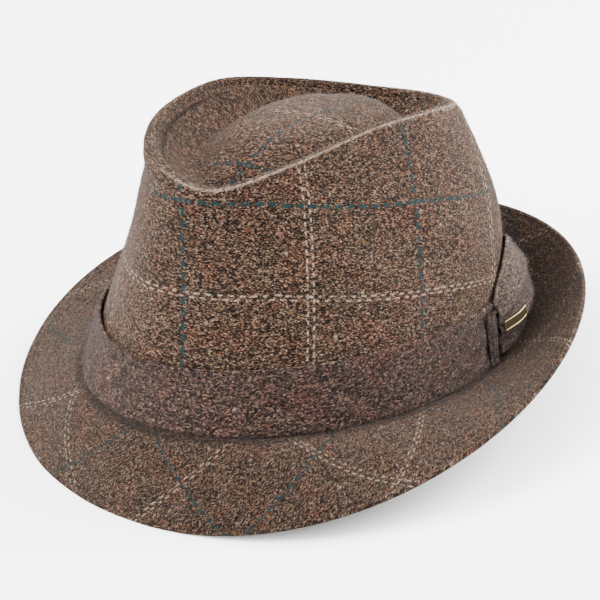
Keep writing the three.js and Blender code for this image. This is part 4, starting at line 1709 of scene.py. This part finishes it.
# %% Beads of thread
def stitches(lines):
    """Beads of thread along closed lines of points and normals."""
    points, faces = [], []
    turn = np.arange(THREAD_SIDES) / THREAD_SIDES * TURN
    for point, normal in lines:
        loop = np.concatenate([point, point[:1]])
        at = np.concatenate([[0], np.cumsum(np.linalg.norm(np.diff(loop, axis=0), axis=1))])
        count = int(at[-1] / STITCH_PITCH)
        above = np.concatenate([normal, normal[:1]])
        for k in range(count):
            start = k * at[-1] / count + DICE.uniform(-STITCH_STRAYS, STITCH_STRAYS)
            index = np.arange(THREAD_SIDES)
            base = sum(len(p) for p in points)
            for share, thick, lift in STITCH_RINGS:
                here = start + share * STITCH_LENGTH
                middle = np.array([np.interp(here, at, loop[:, a]) for a in range(3)])
                ahead = np.array([np.interp(here + LOOK_AHEAD, at, loop[:, a]) for a in range(3)])
                up = unit(np.array([np.interp(here, at, above[:, a]) for a in range(3)]))
                side = unit(np.cross(up, ahead - middle))
                ring_points = middle + up * (lift - THREAD_SUNK)
                circle = np.cos(turn)[:, None] * side + np.sin(turn)[:, None] * up * THREAD_FLAT
                points.append(ring_points + circle * THREAD * thick)
            for r in range(len(STITCH_RINGS) - 1):
                a = base + r * THREAD_SIDES + index
                b = a + THREAD_SIDES
                faces.append(np.stack([a, b, np.roll(b, -1), np.roll(a, -1)], -1))
            last = base + (len(STITCH_RINGS) - 1) * THREAD_SIDES
            faces.append([list(base + index)])
            faces.append([list(last + index[::-1])])
    return np.concatenate(points), faces


print("helper:", stitches.__name__)

# %% [markdown]
# Sewing thread is a hard, matt yarn of two plies. Its twist is too fine to model, so it is a wave of bump
# along the thread, and its brown is a little uneven.

# %% Thread material
def thread_material():
    material = bpy.data.materials.new("sewing_thread")
    material.use_nodes = True
    tree = material.node_tree
    shader = tree.nodes["Principled BSDF"]
    place = put(tree, "ShaderNodeTexCoord").outputs["Object"]
    ply = put(tree, "ShaderNodeTexWave", {"bands_direction": "DIAGONAL"}, Vector=place)
    ply.inputs["Scale"].default_value = 900.0
    ply.inputs["Distortion"].default_value = 1.5
    patchy = put(tree, "ShaderNodeTexNoise", Vector=place, Scale=60.0, Detail=2.0)
    tree.links.new(
        ramp(tree, patchy.outputs["Fac"], ((0.35, (0.014, 0.008, 0.005)), (0.65, (0.045, 0.027, 0.018)))),
        shader.inputs["Base Color"],
    )
    bump = put(tree, "ShaderNodeBump", Height=ply.outputs["Fac"], Strength=0.6, Distance=0.0001)
    tree.links.new(bump.outputs["Normal"], shader.inputs["Normal"])
    shader.inputs["Roughness"].default_value = 0.9
    shader.inputs["Specular IOR Level"].default_value = 0.1
    return material


THREAD_LOOK = thread_material()
print("material:", THREAD_LOOK.name)

# %% [markdown]
# Each row keeps its distance from the edge all the way round, so its line is looked up on the finished
# surface and lies in its own groove. All the beads are one mesh, because nobody takes a single stitch away.

# %% Rows of stitches
brim_lines = [row_line(BRIM_TOP, BRIM_NORMAL, BRIM_FROM_EDGE, row) for row in STITCH_ROWS]
stitch_points, stitch_faces = stitches(brim_lines)
stitch_groups = [np.asarray(group) for group in stitch_faces]
build("brim_stitching", stitch_points, stitch_groups, None, THREAD_LOOK, "tweed")

# %% [markdown]
# ## Loose fibres
# A wool hat seen against a white wall has a soft outline, because short fibres stand off it everywhere. A
# hair system would give them, but it does not travel with the part. So each fibre is a thin closed spike
# of four faces, thousands of them joined into one mesh for each piece of cloth. They lean over in one
# main direction, as a brushed nap does, with some disorder, and each carries its own shade.

# %% Scattering fibres
FIBRE_ROOT = 0.25
FIBRE_STRAYS = 0.8
STAND_VARIES = 0.22
STAND_LEAST, STAND_MOST = 0.05, 1.1
REACH_VARIES = (0.45, 1.35)
THICK_VARIES = (0.7, 1.3)
FIBRE_CURL = 0.18


def fibres(name, top, normal, count, length, radius, lean, nap, material, slot, closed=True):
    """Thin spikes on a surface; nap is their main direction, lean how far they stand up, 0 to 1."""
    after = np.roll(top, -1, 1) if closed else np.concatenate([top[:, 1:], top[:, -1:]], 1)
    corner = top[:-1, :] if closed else top[:-1, :-1]
    across = (after - top)[:-1, :] if closed else (after - top)[:-1, :-1]
    down = np.diff(top, axis=0) if closed else np.diff(top, axis=0)[:, :-1]
    area = np.linalg.norm(np.cross(across, down), axis=-1).ravel()
    pick = DICE.choice(area.size, count, p=area / area.sum())
    u, v = DICE.random((2, count, 1))
    place = corner.reshape(-1, 3)[pick] + across.reshape(-1, 3)[pick] * u + down.reshape(-1, 3)[pick] * v
    up = (normal[:-1, :] if closed else normal[:-1, :-1]).reshape(-1, 3)[pick]
    wild = DICE.normal(size=(count, 3)) * FIBRE_STRAYS + np.asarray(nap)
    flat = unit(wild - (wild * up).sum(1, keepdims=True) * up)
    stand = np.clip(DICE.normal(lean, STAND_VARIES, (count, 1)), STAND_LEAST, STAND_MOST)
    direction = unit(flat + up * stand)
    reach = length * DICE.uniform(*REACH_VARIES, (count, 1))
    side = unit(np.cross(direction, up + 0.01))
    other = np.cross(direction, side)
    root = place - direction * FIBRE_ROOT
    thick = radius * DICE.uniform(*THICK_VARIES, (count, 1))
    base = [root + thick * (math.cos(a) * side + math.sin(a) * other) for a in (0, TURN / 3, TURN * 2 / 3)]
    curl = DICE.normal(size=(count, 3)) * FIBRE_CURL * reach
    points = np.stack([*base, place + direction * reach + curl], 1).reshape(-1, 3)
    first = np.arange(count)[:, None] * 4
    shapes = ((0, 1, 3), (1, 2, 3), (2, 0, 3), (0, 2, 1))
    faces = [np.concatenate([first + np.array(shape) for shape in shapes])]
    piece = build(name, points, faces, None, material, slot)
    mark(piece, "shade", np.repeat(DICE.random(count), 4))


print("helper:", fibres.__name__)

# %% [markdown]
# A fibre has the colour of its own wool, from near black to cream, read from the shade it carries. Two
# materials are enough, one for the tweed and one for the flannel.

# %% Fibre materials
def fibre_material(name, stops):
    material = bpy.data.materials.new(name)
    material.use_nodes = True
    tree = material.node_tree
    shader = tree.nodes["Principled BSDF"]
    shade = put(tree, "ShaderNodeAttribute", {"attribute_name": "shade"})
    place = put(tree, "ShaderNodeTexCoord").outputs["Object"]
    mottle = put(tree, "ShaderNodeTexNoise", Vector=place, Scale=400.0, Detail=2.0)
    light = sum_up(tree, "MULTIPLY_ADD", mottle.outputs["Fac"], 0.8, 0.6)
    grey = put(tree, "ShaderNodeCombineColor", Red=light, Green=light, Blue=light)
    dyed = ramp(tree, shade.outputs["Fac"], stops)
    colour = blend_colours(tree, 1.0, dyed, grey.outputs["Color"], "MULTIPLY")
    tree.links.new(colour, shader.inputs["Base Color"])
    shader.inputs["Roughness"].default_value = 0.6
    return material


TWEED_SHADES = (
    (0.0, (0.002, 0.001, 0.001)),
    (0.4, (0.020, 0.0102, 0.0057)),
    (0.75, (0.047, 0.028, 0.018)),
    (1.0, (0.120, 0.087, 0.062)),
)
FLANNEL_SHADES = (
    (0.0, (0.002, 0.001, 0.001)),
    (0.45, (0.018, 0.0092, 0.0070)),
    (0.8, (0.043, 0.027, 0.0215)),
    (1.0, (0.105, 0.078, 0.064)),
)
TWEED_FIBRE = fibre_material("tweed_fibre", TWEED_SHADES)
FLANNEL_FIBRE = fibre_material("flannel_fibre", FLANNEL_SHADES)
print("materials:", TWEED_FIBRE.name, FLANNEL_FIBRE.name)

# %% [markdown]
# Each cloth gets its own number of fibres, their length and thickness in millimetres, how far they stand up
# and the direction of the nap: down the crown and the band, along the brim.

# %% Fibres on each cloth
CROWN = (CROWN_TOP, CROWN_NORMAL)
TIP_CLOTH = (TIP_TOP, TIP_NORMAL)
BRIM = (BRIM_TOP, BRIM_NORMAL)
BAND = (BAND_TOP, BAND_NORMAL)
WING_FACE = (WING_TOP, WING_NORMAL)
KNOT = (KNOT_TOP, KNOT_NORMAL)
TWEED_WOOL = (TWEED_FIBRE, "tweed")
BAND_WOOL = (FLANNEL_FIBRE, "band_wool")
FUZZ_PLAN = (
    ("crown_fuzz", CROWN, 32000, 1.6, 0.055, 0.55, (0, 0, -0.7), TWEED_WOOL, True),
    ("tip_fuzz", TIP_CLOTH, 14000, 1.4, 0.055, 0.5, (0, 0.5, 0), TWEED_WOOL, True),
    ("brim_fuzz", BRIM, 34000, 1.5, 0.055, 0.55, (0.4, 0, 0), TWEED_WOOL, True),
    ("band_fuzz", BAND, 25000, 2.1, 0.06, 0.5, (0, 0, -0.9), BAND_WOOL, True),
    ("wing_fuzz", WING_FACE, 8000, 2.3, 0.06, 0.5, (0, 0.3, -0.9), BAND_WOOL, False),
    ("knot_fuzz", KNOT, 1000, 1.5, 0.06, 0.4, (0, 0, -0.9), BAND_WOOL, False),
)
for name, cloth, count, length, radius, lean, nap, wool, closed in FUZZ_PLAN:
    fibres(name, *cloth, count, length, radius, lean, nap, *wool, closed)
